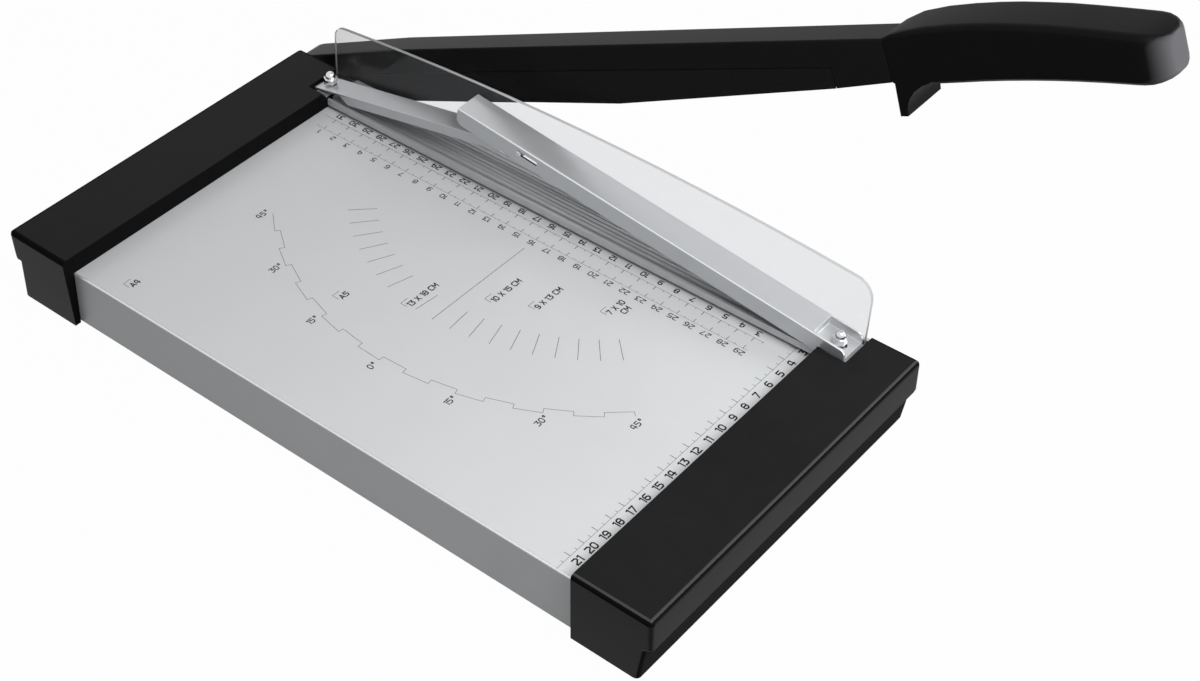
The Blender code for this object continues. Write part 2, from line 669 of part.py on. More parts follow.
def make_cutting_edge():
    ends = X_BACK_BAR
    places = [(y, BAR_SCREW_LEVEL) for y in bar_screw_rows()]
    bar = add_piece("fixed_blade", block((X_BAR, X_EDGE), (-Y_WALL - BAR_OVERLAP, Y_WALL),
                                         (BAR_BOTTOM, Z_BOARD)), "steel")
    cut(bar, together(*[countersink(place, X_EDGE, X_BAR - CUT) for place in places]))
    add_each("fixed_blade_screw", [countersunk(place, X_EDGE - GAP, ends) for place in places],
             "zinc_steel", smooth=True)

    back_end = Y_PIVOT - BOLT_HEAD_RADIUS - GAP
    back = add_piece("back_bar", block((X_BACK_BAR, X_BACK_BAR + BACK_BAR_THICKNESS),
                                       (Y_OPERATOR_END + BACK_BAR_END_SET, back_end),
                                       (BACK_BAR_BOTTOM, BACK_BAR_TOP)), "zinc_steel")
    holes = [rod(BAR_SCREW_RADIUS + GAP, X_BACK_BAR - CUT, X_BRACKET, place)
             for place in places + bracket_screw_places()]
    cut(back, together(*holes))

    eye = arc((Y_PIVOT, PIVOT_HEIGHT), BRACKET_EYE_RADIUS, -90, 90, ROUND_SIDES // 2)
    near = Y_WALL + GAP
    outline = [(near, BRACKET_BOTTOM)] + eye + [(near, Z_BOARD)]
    bracket = add_piece("pivot_bracket", prism(outline, X_BRACKET, X_EDGE), "steel")
    bolt_hole = rod(BOLT_RADIUS + GAP, X_BRACKET - CUT, X_EDGE + CUT, (Y_PIVOT, PIVOT_HEIGHT), sides=ROUND_SIDES)
    sinks = [countersink(place, X_EDGE, X_BRACKET - CUT) for place in bracket_screw_places()]
    cut(bracket, together(bolt_hole, *sinks))
    add_each("bracket_screw", [countersunk(place, X_EDGE - GAP, ends) for place in bracket_screw_places()],
             "zinc_steel", smooth=True)


# Pivot of the arm: bolt, disc spring, washer and lock nut stay with the base, the bush turns

def make_pivot():
    centre = (Y_PIVOT, PIVOT_HEIGHT)
    head = X_BRACKET - GAP
    outside = X_ARM + ARM_WIDTH
    spring = outside + GAP
    washer = spring + DISC_SPRING + GAP
    nut = washer + WASHER + GAP
    nut_top = nut + PIVOT_NUT_HEX
    end = nut_top + PIVOT_NUT_COLLAR / 2
    crown = BOLT_HEAD / 3
    bolt = [(0, head - BOLT_HEAD), (BOLT_HEAD_RADIUS - crown, head - BOLT_HEAD),
            (BOLT_HEAD_RADIUS, head - BOLT_HEAD + crown), (BOLT_HEAD_RADIUS, head), (BOLT_RADIUS, head),
            (BOLT_RADIUS, end - crown), (BOLT_RADIUS - crown, end), (0, end)]
    add_piece("pivot_bolt", turned(bolt, (0, *centre), "X", ROUND_SIDES), "zinc_steel", smooth=True)
    bore = BOLT_RADIUS + GAP
    rim = DISC_SPRING / 2
    disc = [(bore, spring + rim), (DISC_SPRING_RADIUS, spring), (DISC_SPRING_RADIUS, spring + rim),
            (bore, spring + DISC_SPRING)]
    add_piece("pivot_disc_spring", turned(disc, (0, *centre), "X", ROUND_SIDES), "steel", smooth=True)
    plate = [(bore, washer), (WASHER_RADIUS, washer), (WASHER_RADIUS, washer + WASHER), (bore, washer + WASHER)]
    add_piece("pivot_washer", turned(plate, (0, *centre), "X", ROUND_SIDES), "zinc_steel", smooth=True)
    lock = add_piece("pivot_lock_nut", prism(hexagon(PIVOT_NUT_WIDTH, centre), nut, nut_top), "zinc_steel")
    collar_radius = PIVOT_NUT_WIDTH / 2 - crown
    collar = rod(collar_radius, nut_top - CUT, nut_top + PIVOT_NUT_COLLAR, centre, sides=ROUND_SIDES,
                 tip_radius=collar_radius - crown)
    cut(lock, collar, operation="UNION")
    cut(lock, rod(bore, nut - CUT, nut_top + PIVOT_NUT_COLLAR + CUT, centre, sides=ROUND_SIDES))
    shade(lock)

    inner = GAP
    ring = [(bore, inner), (bore + BUSH_WALL, inner), (bore + BUSH_WALL, inner + ARM_WIDTH),
            (bore, inner + ARM_WIDTH)]
    add_piece("pivot_bush", turned(ring, (0, 0, 0), "X", ROUND_SIDES), "brass", ARM_AXIS, smooth=True)


# Arm, blade and handle, in the arm's frame: X from the cutting plane, -Y along the arm, Z up

def along(points):
    """Turns (distance along the arm, height) into the (y, z) of the arm's frame."""
    return [(-distance, height) for distance, height in points]


def shoulder_height(distance):
    """Height of the arm's top, which falls towards the pivot."""
    return ARM_END_RADIUS + (ARM_TOP - ARM_END_RADIUS) * min(distance / ARM_SHOULDER, 1)


def arm_outline():
    end = arc((0, 0), ARM_END_RADIUS, 90, 270, ROUND_SIDES // 2)
    bottom = [(ARM_HEEL, ARM_BOTTOM_HEEL), (BLADE_KNEE, ARM_BOTTOM_KNEE), (BLADE_END, BLADE_EDGE_END),
              (ARM_LENGTH, ARM_BOTTOM_TIP)]
    return along(end + bottom + [(ARM_LENGTH, ARM_TOP), (ARM_SHOULDER, ARM_TOP)])


def make_arm():
    """A C section: near wall with the blade's seat, top web, outer flange, ribs and a tang."""
    near = GAP
    far = near + ARM_WIDTH
    shape = prism(arm_outline(), near, far)
    rims = [edge for edge in shape.edges
            if abs(edge.verts[0].co.x - edge.verts[1].co.x) < GAP
            and min(vert.co.z for vert in edge.verts) > ARM_END_RADIUS / 2]
    upper = [edge for edge in rims if abs(edge.verts[0].co.y - edge.verts[1].co.y) > GAP]
    round_edges(shape, upper, ARM_EDGE_RADIUS)
    arm = add_piece("arm", shape, "arm_paint", ARM_AXIS)

    hollow = (near + ARM_NEAR_WALL, far - ARM_FLANGE)
    floor = ARM_TOP - ARM_FLANGE_DEPTH
    inside = ARM_END_RADIUS - ARM_WEB
    lower = along(arc((0, 0), inside, 90, 180, ROUND_SIDES // 4) + [(-inside, -ARM_END_RADIUS - CUT),
                  (ARM_LENGTH + CUT, -ARM_END_RADIUS - CUT), (ARM_LENGTH + CUT, floor),
                  (inside, floor), (inside / 2, inside * sqrt(3) / 2)])
    below_flange = along([(ARM_EAR_LENGTH, -ARM_END_RADIUS - CUT), (ARM_LENGTH + CUT, -ARM_END_RADIUS - CUT),
                          (ARM_LENGTH + CUT, floor), (ARM_EAR_LENGTH + ARM_FLANGE_DEPTH, floor)])
    run = ARM_LENGTH - ARM_EAR_LENGTH - ARM_FLANGE_DEPTH
    pitch = run / ARM_RIBS
    cells = []
    for k in range(ARM_RIBS):
        start = ARM_EAR_LENGTH + ARM_FLANGE_DEPTH + k * pitch
        stop = start + pitch - ARM_RIB
        roof = [(stop, shoulder_height(stop) - ARM_WEB), (start, shoulder_height(start) - ARM_WEB)]
        cells.append(prism(along([(start, floor - GAP), (stop, floor - GAP)] + roof), *hollow))
    seat = blade_outline(GAP)
    cut(arm, prism(lower, *hollow), prism(below_flange, hollow[0], far + CUT), together(*cells),
        prism(seat, near - CUT, near + BLADE_THICKNESS + GAP))

    tang_low = near + TANG_SIDE_SET
    tang = block((tang_low, tang_low + TANG_WIDTH), (-ARM_LENGTH - TANG_LENGTH, -ARM_LENGTH + 2 * ARM_RIB),
                 (TANG_BOTTOM, TANG_TOP))
    cut(arm, tang, operation="UNION")
    bush_hole = rod(BOLT_RADIUS + BUSH_WALL + 2 * GAP, near - CUT, far + CUT, (0, 0), sides=ROUND_SIDES)
    screw_holes = [rod(SCREW_RADIUS + GAP, near, near + ARM_NEAR_WALL + CUT, (-u, BLADE_SCREW_LEVEL))
                   for u in blade_screw_rows()]
    handle_holes = [rod(SCREW_RADIUS + GAP, TANG_BOTTOM - CUT, TANG_TOP - GAP, (tang_low + TANG_WIDTH / 2, -u), "Z")
                    for u in handle_screw_rows()]
    cut(arm, together(bush_hole, *screw_holes), together(*handle_holes))
    shade(arm)


def blade_outline(grown=0.0, raised=0.0):
    """The blade's side view, grown by its seat's clearance, with its edge raised for the grind."""
    return along([(BLADE_START - grown, BLADE_TOP + grown), (BLADE_START - grown, BLADE_EDGE_START + raised - grown),
                  (BLADE_KNEE, BLADE_EDGE_KNEE + raised - grown), (BLADE_END + grown, BLADE_EDGE_END + raised - grown),
                  (BLADE_END + grown, BLADE_TOP + grown)])


def blade_screw_rows():
    first = BLADE_START + 2 * SCREW_HEAD_RADIUS
    last = BLADE_END - 4 * SCREW_HEAD_RADIUS
    return [first + (last - first) * k / (BLADE_SCREW_COUNT - 1) for k in range(BLADE_SCREW_COUNT)]


def handle_screw_rows():
    return [ARM_LENGTH + TANG_LENGTH * share for share in TANG_SCREW_SHARES]



def make_blade():
    """Flat on the cutting plane, ground on its outer side, with tapped holes from that side."""
    near = GAP
    far = near + BLADE_THICKNESS
    shape = bmesh.new()
    flat = [shape.verts.new((near, y, z)) for y, z in blade_outline()]
    ground = [shape.verts.new((far, y, z)) for y, z in blade_outline(raised=BLADE_GRIND)]
    for corner in (0, -1):
        ground[corner].co.z = BLADE_TOP
    shape.faces.new(flat)
    shape.faces.new(ground[::-1])
    for k in range(len(flat)):
        after = (k + 1) % len(flat)
        shape.faces.new([flat[after], flat[k], ground[k], ground[after]])
    blade = add_piece("blade", shape, "blade_coating", ARM_AXIS)
    holes = [rod(SCREW_RADIUS + GAP, near + BLADE_THICKNESS / 3, far + CUT, (-u, BLADE_SCREW_LEVEL))
             for u in blade_screw_rows()]
    cut(blade, together(*holes))
    seat = GAP + ARM_NEAR_WALL + GAP
    crown = SCREW_HEAD / 3
    profile = [(0, near + BLADE_THICKNESS / 3 + GAP), (SCREW_RADIUS, near + BLADE_THICKNESS / 3 + GAP),
               (SCREW_RADIUS, seat), (SCREW_HEAD_RADIUS, seat), (SCREW_HEAD_RADIUS, seat + SCREW_HEAD - crown),
               (SCREW_HEAD_RADIUS - crown, seat + SCREW_HEAD), (0, seat + SCREW_HEAD)]
    add_each("blade_screw", [turned(profile, (0, -u, BLADE_SCREW_LEVEL), "X") for u in blade_screw_rows()],
             "zinc_steel", ARM_AXIS, smooth=True)


def handle_section(distance, low, high, bottom, top, corner):
    """One ring of the grip: a rectangle with rounded corners."""
    ring = []
    for x, z, start in ((high - corner, top - corner, 0), (low + corner, top - corner, 90),
                        (low + corner, bottom + corner, 180), (high - corner, bottom + corner, 270)):
        ring += [(px, -distance, pz) for px, pz in arc((x, z), corner, start, start + 90, FILLET_STEPS)]
    return ring


def handle_levels(share):
    """Bottom and top of the grip, read between its stations."""
    for (first, top, bottom), (last, next_top, next_bottom) in zip(HANDLE_LEVELS, HANDLE_LEVELS[1:]):
        if share <= last:
            part = (share - first) / (last - first)
            return (ARM_BOTTOM_TIP + bottom + (next_bottom - bottom) * part,
                    ARM_TOP + top + (next_top - top) * part)
    return ARM_BOTTOM_TIP + bottom, ARM_TOP + top


def make_handle():
    """A lofted grip with a finger stop below its root, and a socket for the arm's tang."""
    near = GAP
    body = 1 - HANDLE_NOSE / HANDLE_LENGTH
    rings = []
    for share in [share for share, *_ in HANDLE_LEVELS if share < body] + [body]:
        flare = min(share * HANDLE_LENGTH / HANDLE_FLARE, 1)
        width = ARM_WIDTH + (HANDLE_WIDTH - ARM_WIDTH) * flare
        corner = ARM_EDGE_RADIUS + (HANDLE_CORNER - ARM_EDGE_RADIUS) * flare
        rings.append(handle_section(HANDLE_START + share * HANDLE_LENGTH, near, near + width,
                                    *handle_levels(share), corner))
    for step in range(1, NOSE_STEPS + 1):
        turn = step / NOSE_STEPS * pi / 2
        ahead = body * HANDLE_LENGTH + HANDLE_NOSE * sin(turn)
        draw = HANDLE_NOSE * (1 - cos(turn)) * NOSE_FULLNESS
        drop = HANDLE_NOSE_DROP * (1 - cos(turn))
        bottom, top = handle_levels(ahead / HANDLE_LENGTH)
        rings.append(handle_section(HANDLE_START + ahead, near + draw, near + HANDLE_WIDTH - draw, bottom + drop,
                                    top - drop, HANDLE_CORNER))
    shape = bmesh.new()
    loops = [[shape.verts.new(point) for point in ring] for ring in rings]
    for first, second in zip(loops, loops[1:]):
        for k in range(len(first)):
            after = (k + 1) % len(first)
            shape.faces.new([first[k], first[after], second[after], second[k]])
    shape.faces.new(loops[0])
    shape.faces.new(loops[-1])
    handle = add_piece("handle_grip", shape, "grip_rubber", ARM_AXIS)

    root = HANDLE_START + STOP_SET
    sole = ARM_BOTTOM_TIP
    hollow = STOP_LENGTH - STOP_TIP
    curve = [(root + STOP_LENGTH - hollow * sin(turn), sole - STOP_REACH * (1 - cos(turn)))
             for turn in [pi / 2 * k / 6 for k in range(1, 7)]]
    fin = [(root, sole + STOP_TIP), (root - STOP_LEAN, sole - STOP_REACH)] + curve[::-1] + \
          [(root + STOP_LENGTH, sole + STOP_TIP)]
    cut(handle, prism(along(fin), near + STOP_SIDE_SET, near + HANDLE_WIDTH - STOP_SIDE_SET), operation="UNION")
    tang_low = near + TANG_SIDE_SET - GAP
    socket = block((tang_low, tang_low + TANG_WIDTH + 2 * GAP), (-ARM_LENGTH - TANG_LENGTH - GAP, -ARM_LENGTH + CUT),
                   (TANG_BOTTOM - GAP, TANG_TOP + GAP))
    cut(handle, socket)
    middle = tang_low + GAP + TANG_WIDTH / 2
    seat = TANG_BOTTOM - GAP - SCREW_HEAD / 2
    holes = [rod(SCREW_HEAD_RADIUS + GAP, -ARM_END_RADIUS, seat, (middle, -u), "Z") for u in handle_screw_rows()]
    shanks = [rod(SCREW_RADIUS + GAP, seat - GAP, TANG_BOTTOM, (middle, -u), "Z") for u in handle_screw_rows()]
    cut(handle, together(*holes), together(*shanks))
    shade(handle)
    screws = [pan_screw((middle, -u), -1, seat - GAP, TANG_TOP - 2 * GAP) for u in handle_screw_rows()]
    add_each("handle_screw", screws, "zinc_steel", ARM_AXIS, smooth=True)


# Press levers, in frames that turn with them: Y along the machine, Z square to the lever's web

def link_place(axis):
    """The link pin's centre in a lever's own frame."""
    return axis.matrix_world.inverted() @ Vector((X_STUD, Y_LINK, Z_STUD + LINK_RISE))


def make_front_lever():
    """A deep channel with a sunk floor at its stud and slots for the link pin."""
    half = HALF_LEVER
    web = FRONT_WEB_RISE
    reach = FRONT_RUN + FRONT_LEVER_PAST_LINK
    under = web - FRONT_LEVER_DEPTH
    floor = LEVER_SHEET / 2
    side = [(-FRONT_LEVER_TAIL, -floor)]
    side += [(FRONT_WALL_START, -floor), (FRONT_WALL_START, under), (reach - FRONT_CORNER_RADIUS, under)]
    side += arc((reach - FRONT_CORNER_RADIUS, under + FRONT_CORNER_RADIUS), FRONT_CORNER_RADIUS, -90, 0,
                FILLET_STEPS)[1:]
    side += [(reach, web + CUT), (FRONT_WALL_START, web + CUT)]
    side += arc((-FRONT_LEVER_TAIL + FRONT_CORNER_RADIUS, web - FRONT_CORNER_RADIUS), FRONT_CORNER_RADIUS, 90, 180,
                FILLET_STEPS)
    stock = lever_stock(half, under - CUT, web, -FRONT_LEVER_TAIL - CUT, reach + CUT)
    lever = add_piece("front_press_lever", stock, "lever_metal", FRONT_AXIS)
    cut(lever, prism(side, -half - CUT, half + CUT), operation="INTERSECT")
    inner = half - LEVER_SHEET
    end = FRONT_POCKET - LEVER_SHEET
    channel = prism([(end + LEVER_SHEET, under - CUT), (reach + CUT, under - CUT), (reach + CUT, web - LEVER_SHEET),
                     (end + LEVER_SHEET, web - LEVER_SHEET)], -inner, inner)
    below = block((-inner, inner), (FRONT_WALL_START - CUT, end + LEVER_SHEET + CUT), (under - CUT, -floor))
    pocket = block((-inner, inner), (-FRONT_LEVER_TAIL - CUT, end), (floor, web + CUT))
    slot = stud_slot()
    pin = link_place(FRONT_AXIS)
    play = LINK_PIN_RADIUS + LINK_PLAY
    link = arc((pin.y, pin.z), play, -90, 90, 6) + arc((pin.y - LINK_SLOT_LENGTH, pin.z), play, 90, 270, 6)
    cut(lever, channel, below, pocket, slot, prism(link, -half - CUT, half + CUT))
    shade(lever)


def stud_slot():
    """Lengthwise slot for the stud in a lever's floor."""
    radius = STUD_RADIUS + GAP
    shift = STUD_SLOT_LENGTH / 2 - radius
    outline = [(x, y - shift) for x, y in arc((0, 0), radius, 180, 360, 8)] + \
              [(x, y + shift) for x, y in arc((0, 0), radius, 0, 180, 8)]
    return prism(outline, -STUD_RADIUS, STUD_RADIUS, "Z")


def make_rear_lever():
    """A shallower channel that tucks into the front one, with two rounded ears for the pin."""
    half = HALF_LEVER - LEVER_SHEET - REAR_SIDE_GAP
    web = LEVER_SHEET / 2
    under = web - REAR_LEVER_DEPTH
    pin = link_place(REAR_AXIS)
    reach = pin.y
    ear = arc((reach, pin.z), LINK_EAR_RADIUS, 90, 270, 10)
    ear_top = reach + REAR_WEB_END_SET + LINK_EAR_RADIUS
    side = [(REAR_LEVER_TAIL, -web), (REAR_LEVER_TAIL, web), (ear_top, web)]
    side += ear
    side += [(ear_top, under), (-REAR_WALL_START - REAR_LEVER_DEPTH, under), (-REAR_WALL_START, -web)]
    lever = add_piece("rear_press_lever", prism(side, -half, half), "lever_metal", REAR_AXIS)
    inner = half - LEVER_SHEET
    channel = prism([(-REAR_WALL_START - LEVER_SHEET, -web), (-REAR_WALL_START, under - REAR_LEVER_DEPTH),
                     (reach - 2 * LINK_EAR_RADIUS, under - REAR_LEVER_DEPTH), (reach - 2 * LINK_EAR_RADIUS, -web)],
                    -inner, inner)
    mouth = block((-inner, inner), (reach - 2 * LINK_EAR_RADIUS, ear_top), (under - CUT, web + CUT))
    hole = rod(LINK_PIN_RADIUS + GAP, -half - CUT, half + CUT, (pin.y, pin.z))
    cut(lever, channel, mouth, stud_slot(), hole)
    shade(lever)
    near = -HALF_LEVER - GAP - LINK_HEAD
    far = HALF_LEVER - GAP
    crown = LINK_HEAD / 3
    profile = [(0, near), (LINK_HEAD_RADIUS - crown, near), (LINK_HEAD_RADIUS, near + crown),
               (LINK_HEAD_RADIUS, near + LINK_HEAD), (LINK_PIN_RADIUS, near + LINK_HEAD), (LINK_PIN_RADIUS, far),
               (0, far)]
    add_piece("link_pin", turned(profile, (0, pin.y, pin.z), "X"), "chrome", REAR_AXIS, smooth=True)


def nut_base(lever_angle):
    """The nut clears the lever's floor, which tilts under it."""
    return Z_STUD + LEVER_SHEET / 2 + CAP_NUT_WIDTH / sqrt(3) * sin(lever_angle) + GAP


def make_stud(name, y, lever_angle):
    """A screw from below whose shank carries the guard's foot, the lever and the cap nut."""
    seat = Z_NOTCH - CAP_WALL - GAP
    end = nut_base(lever_angle) + CAP_NUT_HEX
    crown = STUD_HEAD / 3
    low = seat - STUD_HEAD
    profile = [(0, low), (STUD_HEAD_RADIUS - crown, low), (STUD_HEAD_RADIUS, low + crown),
               (STUD_HEAD_RADIUS, seat), (STUD_RADIUS, seat), (STUD_RADIUS, end), (0, end)]
    add_piece(name, turned(profile, (X_STUD, y, 0)), "zinc_steel", smooth=True)


def make_cap_nut(name, y, lever_angle):
    """A hexagon with a dome, hollow from below for the stud."""
    base = nut_base(lever_angle)
    top = base + CAP_NUT_HEX
    nut = add_piece(name, prism(hexagon(CAP_NUT_WIDTH, (X_STUD, y)), base, top, "Z"), "chrome")
    neck = top + CAP_NUT_SHELL
    dome = [(CAP_NUT_DOME * cos(turn), neck + CAP_NUT_DOME * sin(turn))
            for turn in [pi / 2 * k / 6 for k in range(7)]]
    dome[-1] = (0, neck + CAP_NUT_DOME)
    profile = [(0, base + CAP_NUT_HEX / 2), (CAP_NUT_DOME, base + CAP_NUT_HEX / 2)] + dome
    cut(nut, turned(profile, (X_STUD, y, 0), sides=ROUND_SIDES), operation="UNION")
    cut(nut, rod(STUD_RADIUS + GAP, base - CUT, top + GAP, (X_STUD, y), "Z"))
    shade(nut)


# Guard, clamp rail, guide pins and lift springs

def make_guard():
    """A clear sheet with an arched top edge and a foot turned under each lever's end."""
    low = Z_NOTCH + GAP
    start = -(Y_WALL + GUARD_OPERATOR_BEYOND)
    end = Y_WALL + GUARD_PIVOT_BEYOND
    left = start + GUARD_OPERATOR_CORNER
    right = end - GUARD_PIVOT_CORNER

    def crest(y):
        share = (y - left) / (right - left)
        straight = GUARD_OPERATOR_TOP + (GUARD_PIVOT_TOP - GUARD_OPERATOR_TOP) * share
        return straight + GUARD_ARCH * 4 * share * (1 - share)

    steps = 14
    top = [(left + (right - left) * k / steps, crest(left + (right - left) * k / steps)) for k in range(1, steps)]
    outline = [(start, low)]
    outline += arc((left, GUARD_OPERATOR_TOP - GUARD_OPERATOR_CORNER), GUARD_OPERATOR_CORNER, 180, 90, 5)
    outline += top
    outline += arc((right, GUARD_PIVOT_TOP - GUARD_PIVOT_CORNER), GUARD_PIVOT_CORNER, 90, 0, 5)
    outline += [(end, low)]
    guard = add_piece("finger_guard", prism(outline, X_GUARD, X_GUARD + GUARD_THICKNESS), "clear_guard")
    heel = (X_GUARD - GUARD_FOOT_REACH, X_GUARD + GUARD_THICKNESS / 2)
    front_foot = block(heel, (start, -(Y_WALL + GAP)), (low, low + GUARD_FOOT))
    rear_foot = block(heel, (Y_WALL + GAP, end), (low, low + GUARD_FOOT))
    cut(guard, together(front_foot, rear_foot), operation="UNION")
    holes = [rod(STUD_RADIUS + GAP, low - CUT, low + GUARD_FOOT + CUT, (X_STUD, y), "Z")
             for y in (Y_FRONT_STUD, Y_REAR_STUD)]
    cut(guard, together(*holes))


def rail_outline():
    """Section of the clamp rail: near lip, valley, grooved land and a chamfered far edge."""
    low = 0.0
    left = X_RAIL - X_GUIDE
    right = X_EDGE - RAIL_EDGE_SET - X_GUIDE
    land = left + RAIL_LIP + RAIL_VALLEY
    top = RAIL_HEIGHT
    outline = [(left, low), (left, top + RAIL_LIP_RISE), (left + RAIL_LIP, top + RAIL_LIP_RISE),
               (left + RAIL_LIP, RAIL_VALLEY_FLOOR), (land, RAIL_VALLEY_FLOOR)]
    pitch = (right - RAIL_LIP - land) / RAIL_GROOVES
    for k in range(RAIL_GROOVES):
        rib = land + k * pitch
        outline += [(rib, top), (rib + pitch * 2 / 3, top), (rib + pitch * 2 / 3, top - RAIL_GROOVE_DEPTH),
                    (rib + pitch, top - RAIL_GROOVE_DEPTH)]
    outline += [(right - RAIL_LIP, top), (right, top - RAIL_LIP), (right, low)]
    return outline


def make_clamp_rail():
    """An extruded rail that rides on two guide pins, with a well for a lift spring round each."""
    reach = Y_WALL - RAIL_END_SET
    rail = add_piece("clamp_rail", prism(rail_outline(), -reach, reach, "Y"), "rail_metal", RAIL_AXIS)
    holes = [rod(GUIDE_PIN_RADIUS + GAP, -CUT, RAIL_HEIGHT + CUT, (0, side * Y_GUIDE), "Z") for side in (-1, 1)]
    wells = [rod(SPRING_RADIUS + SPRING_WIRE, -CUT, SPRING_WELL_DEPTH, (0, side * Y_GUIDE), "Z", ROUND_SIDES)
             for side in (-1, 1)]
    cut(rail, together(*holes), together(*wells))

    base = Z_BOARD - BED_SHEET - GAP
    top = Z_BOARD + GUIDE_PIN_RISE
    for name, side in (("operator", -1), ("pivot", 1)):
        y = side * Y_GUIDE
        profile = [(0, base - GUIDE_PIN_HEAD), (GUIDE_PIN_HEAD_RADIUS, base - GUIDE_PIN_HEAD),
                   (GUIDE_PIN_HEAD_RADIUS, base), (GUIDE_PIN_RADIUS, base), (GUIDE_PIN_RADIUS, top - GAP),
                   (GUIDE_PIN_RADIUS - GAP, top), (0, top)]
        add_piece(f"rail_guide_pin_{name}", turned(profile, (X_GUIDE, y, 0)), "zinc_steel", smooth=True)
        make_lift_spring(f"rail_spring_{name}", y)


def make_lift_spring(name, y):
    """A short coil between the table and the rail's well, as a tube along a helix."""
    floor = Z_BOARD + GAP + SPRING_WIRE / 2
    roof = Z_BOARD + RAIL_LIFT + SPRING_WELL_DEPTH - GAP - SPRING_WIRE / 2
    points = int(SPRING_TURNS * 10)
    curve = bpy.data.curves.new(name, "CURVE")
    curve.dimensions = "3D"
    curve.bevel_depth = SPRING_WIRE / 2
    curve.bevel_resolution = 1
    curve.use_fill_caps = True
    coil = curve.splines.new("POLY")
    coil.points.add(points)
    for k, point in enumerate(coil.points):
        share = k / points
        turn = 2 * pi * SPRING_TURNS * share
        point.co = (X_GUIDE + SPRING_RADIUS * cos(turn), y + SPRING_RADIUS * sin(turn),
                    floor + (roof - floor) * share, 1)
    spring = bpy.data.objects.new(name, curve)
    spring.data.materials.append(MATERIALS["steel"])
    bpy.context.scene.collection.objects.link(spring)
    print(name, "least gap between turns, mm", round(((roof - floor) / SPRING_TURNS - SPRING_WIRE) * 1000, 2))


make_bed()
make_cross_channels()
make_cap("operator_cap", -1, Y_OPERATOR_END, OPERATOR_NOTCH_LENGTH, Y_FRONT_STUD)
make_cap("pivot_cap", 1, Y_PIVOT_END, PIVOT_NOTCH_LENGTH, Y_REAR_STUD)
make_feet()
make_cap_screws()
make_cutting_edge()
make_pivot()
make_arm()
make_blade()
make_handle()
make_front_lever()
make_rear_lever()
for end, stud_y, lever_angle in (("front", Y_FRONT_STUD, FRONT_LEVER_ANGLE), ("rear", Y_REAR_STUD, REAR_LEVER_ANGLE)):
    make_stud(f"{end}_stud", stud_y, lever_angle)
    make_cap_nut(f"{end}_cap_nut", stud_y, lever_angle)
make_guard()
make_clamp_rail()
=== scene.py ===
# %% [markdown]
# # A desk guillotine for A4 sheets
#
# The machine is a folded metal board between two black caps, with a swinging arm along one edge. A pair of thin
# press levers crosses over a clamp rail, and a clear guard stands between them and the arm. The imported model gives
# every piece its place in metres. This script dresses it: better edges, printed scales, real finishes and light.

# %% Load the model
import json
import math

import bpy
from mathutils import Matrix, Vector


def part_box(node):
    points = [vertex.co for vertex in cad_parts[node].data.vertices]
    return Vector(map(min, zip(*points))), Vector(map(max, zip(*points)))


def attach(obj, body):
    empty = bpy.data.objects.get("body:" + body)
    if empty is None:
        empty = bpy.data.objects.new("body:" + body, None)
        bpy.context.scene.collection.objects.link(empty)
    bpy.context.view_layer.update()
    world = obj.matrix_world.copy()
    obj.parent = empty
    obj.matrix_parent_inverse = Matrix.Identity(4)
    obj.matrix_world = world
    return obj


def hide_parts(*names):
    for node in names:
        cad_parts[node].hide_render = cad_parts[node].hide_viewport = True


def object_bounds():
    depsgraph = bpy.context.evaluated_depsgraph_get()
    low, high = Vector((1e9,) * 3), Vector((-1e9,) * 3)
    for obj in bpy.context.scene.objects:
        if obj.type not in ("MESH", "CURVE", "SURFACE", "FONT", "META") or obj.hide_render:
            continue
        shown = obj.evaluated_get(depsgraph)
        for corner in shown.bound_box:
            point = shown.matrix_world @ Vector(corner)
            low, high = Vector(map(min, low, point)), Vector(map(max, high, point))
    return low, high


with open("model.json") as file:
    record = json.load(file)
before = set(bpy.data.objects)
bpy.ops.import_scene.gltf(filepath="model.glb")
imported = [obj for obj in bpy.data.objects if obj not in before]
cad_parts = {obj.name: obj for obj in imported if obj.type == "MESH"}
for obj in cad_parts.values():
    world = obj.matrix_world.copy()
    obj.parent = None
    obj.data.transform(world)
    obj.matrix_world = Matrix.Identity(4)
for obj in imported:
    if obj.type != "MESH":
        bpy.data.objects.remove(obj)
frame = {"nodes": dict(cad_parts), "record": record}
cad_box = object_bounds()
bpy.ops.object.select_all(action="DESELECT")

# %% [markdown]
# A few sizes come back in many steps. They are read from the model, so that everything drawn on the board or
# fitted to a lever sits where that piece really is.

# %% Measure the model
board_low, board_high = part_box("bed_sheet")
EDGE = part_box("fixed_blade")[1][0]
BOARD_TOP = board_high[2]
BOARD_FRONT = board_low[0]
print("board top", round(BOARD_TOP, 4), "cutting edge", round(EDGE, 5))

# %% [markdown]
# The camera stands at the photograph's place: in front of the operator's left, looking down at the board from
# about forty degrees. It was worked out from the centimetre scales on the board, because marks at known distances
# fix a camera's place and lens. The small sideways shift frames the machine left of the middle without turning it.

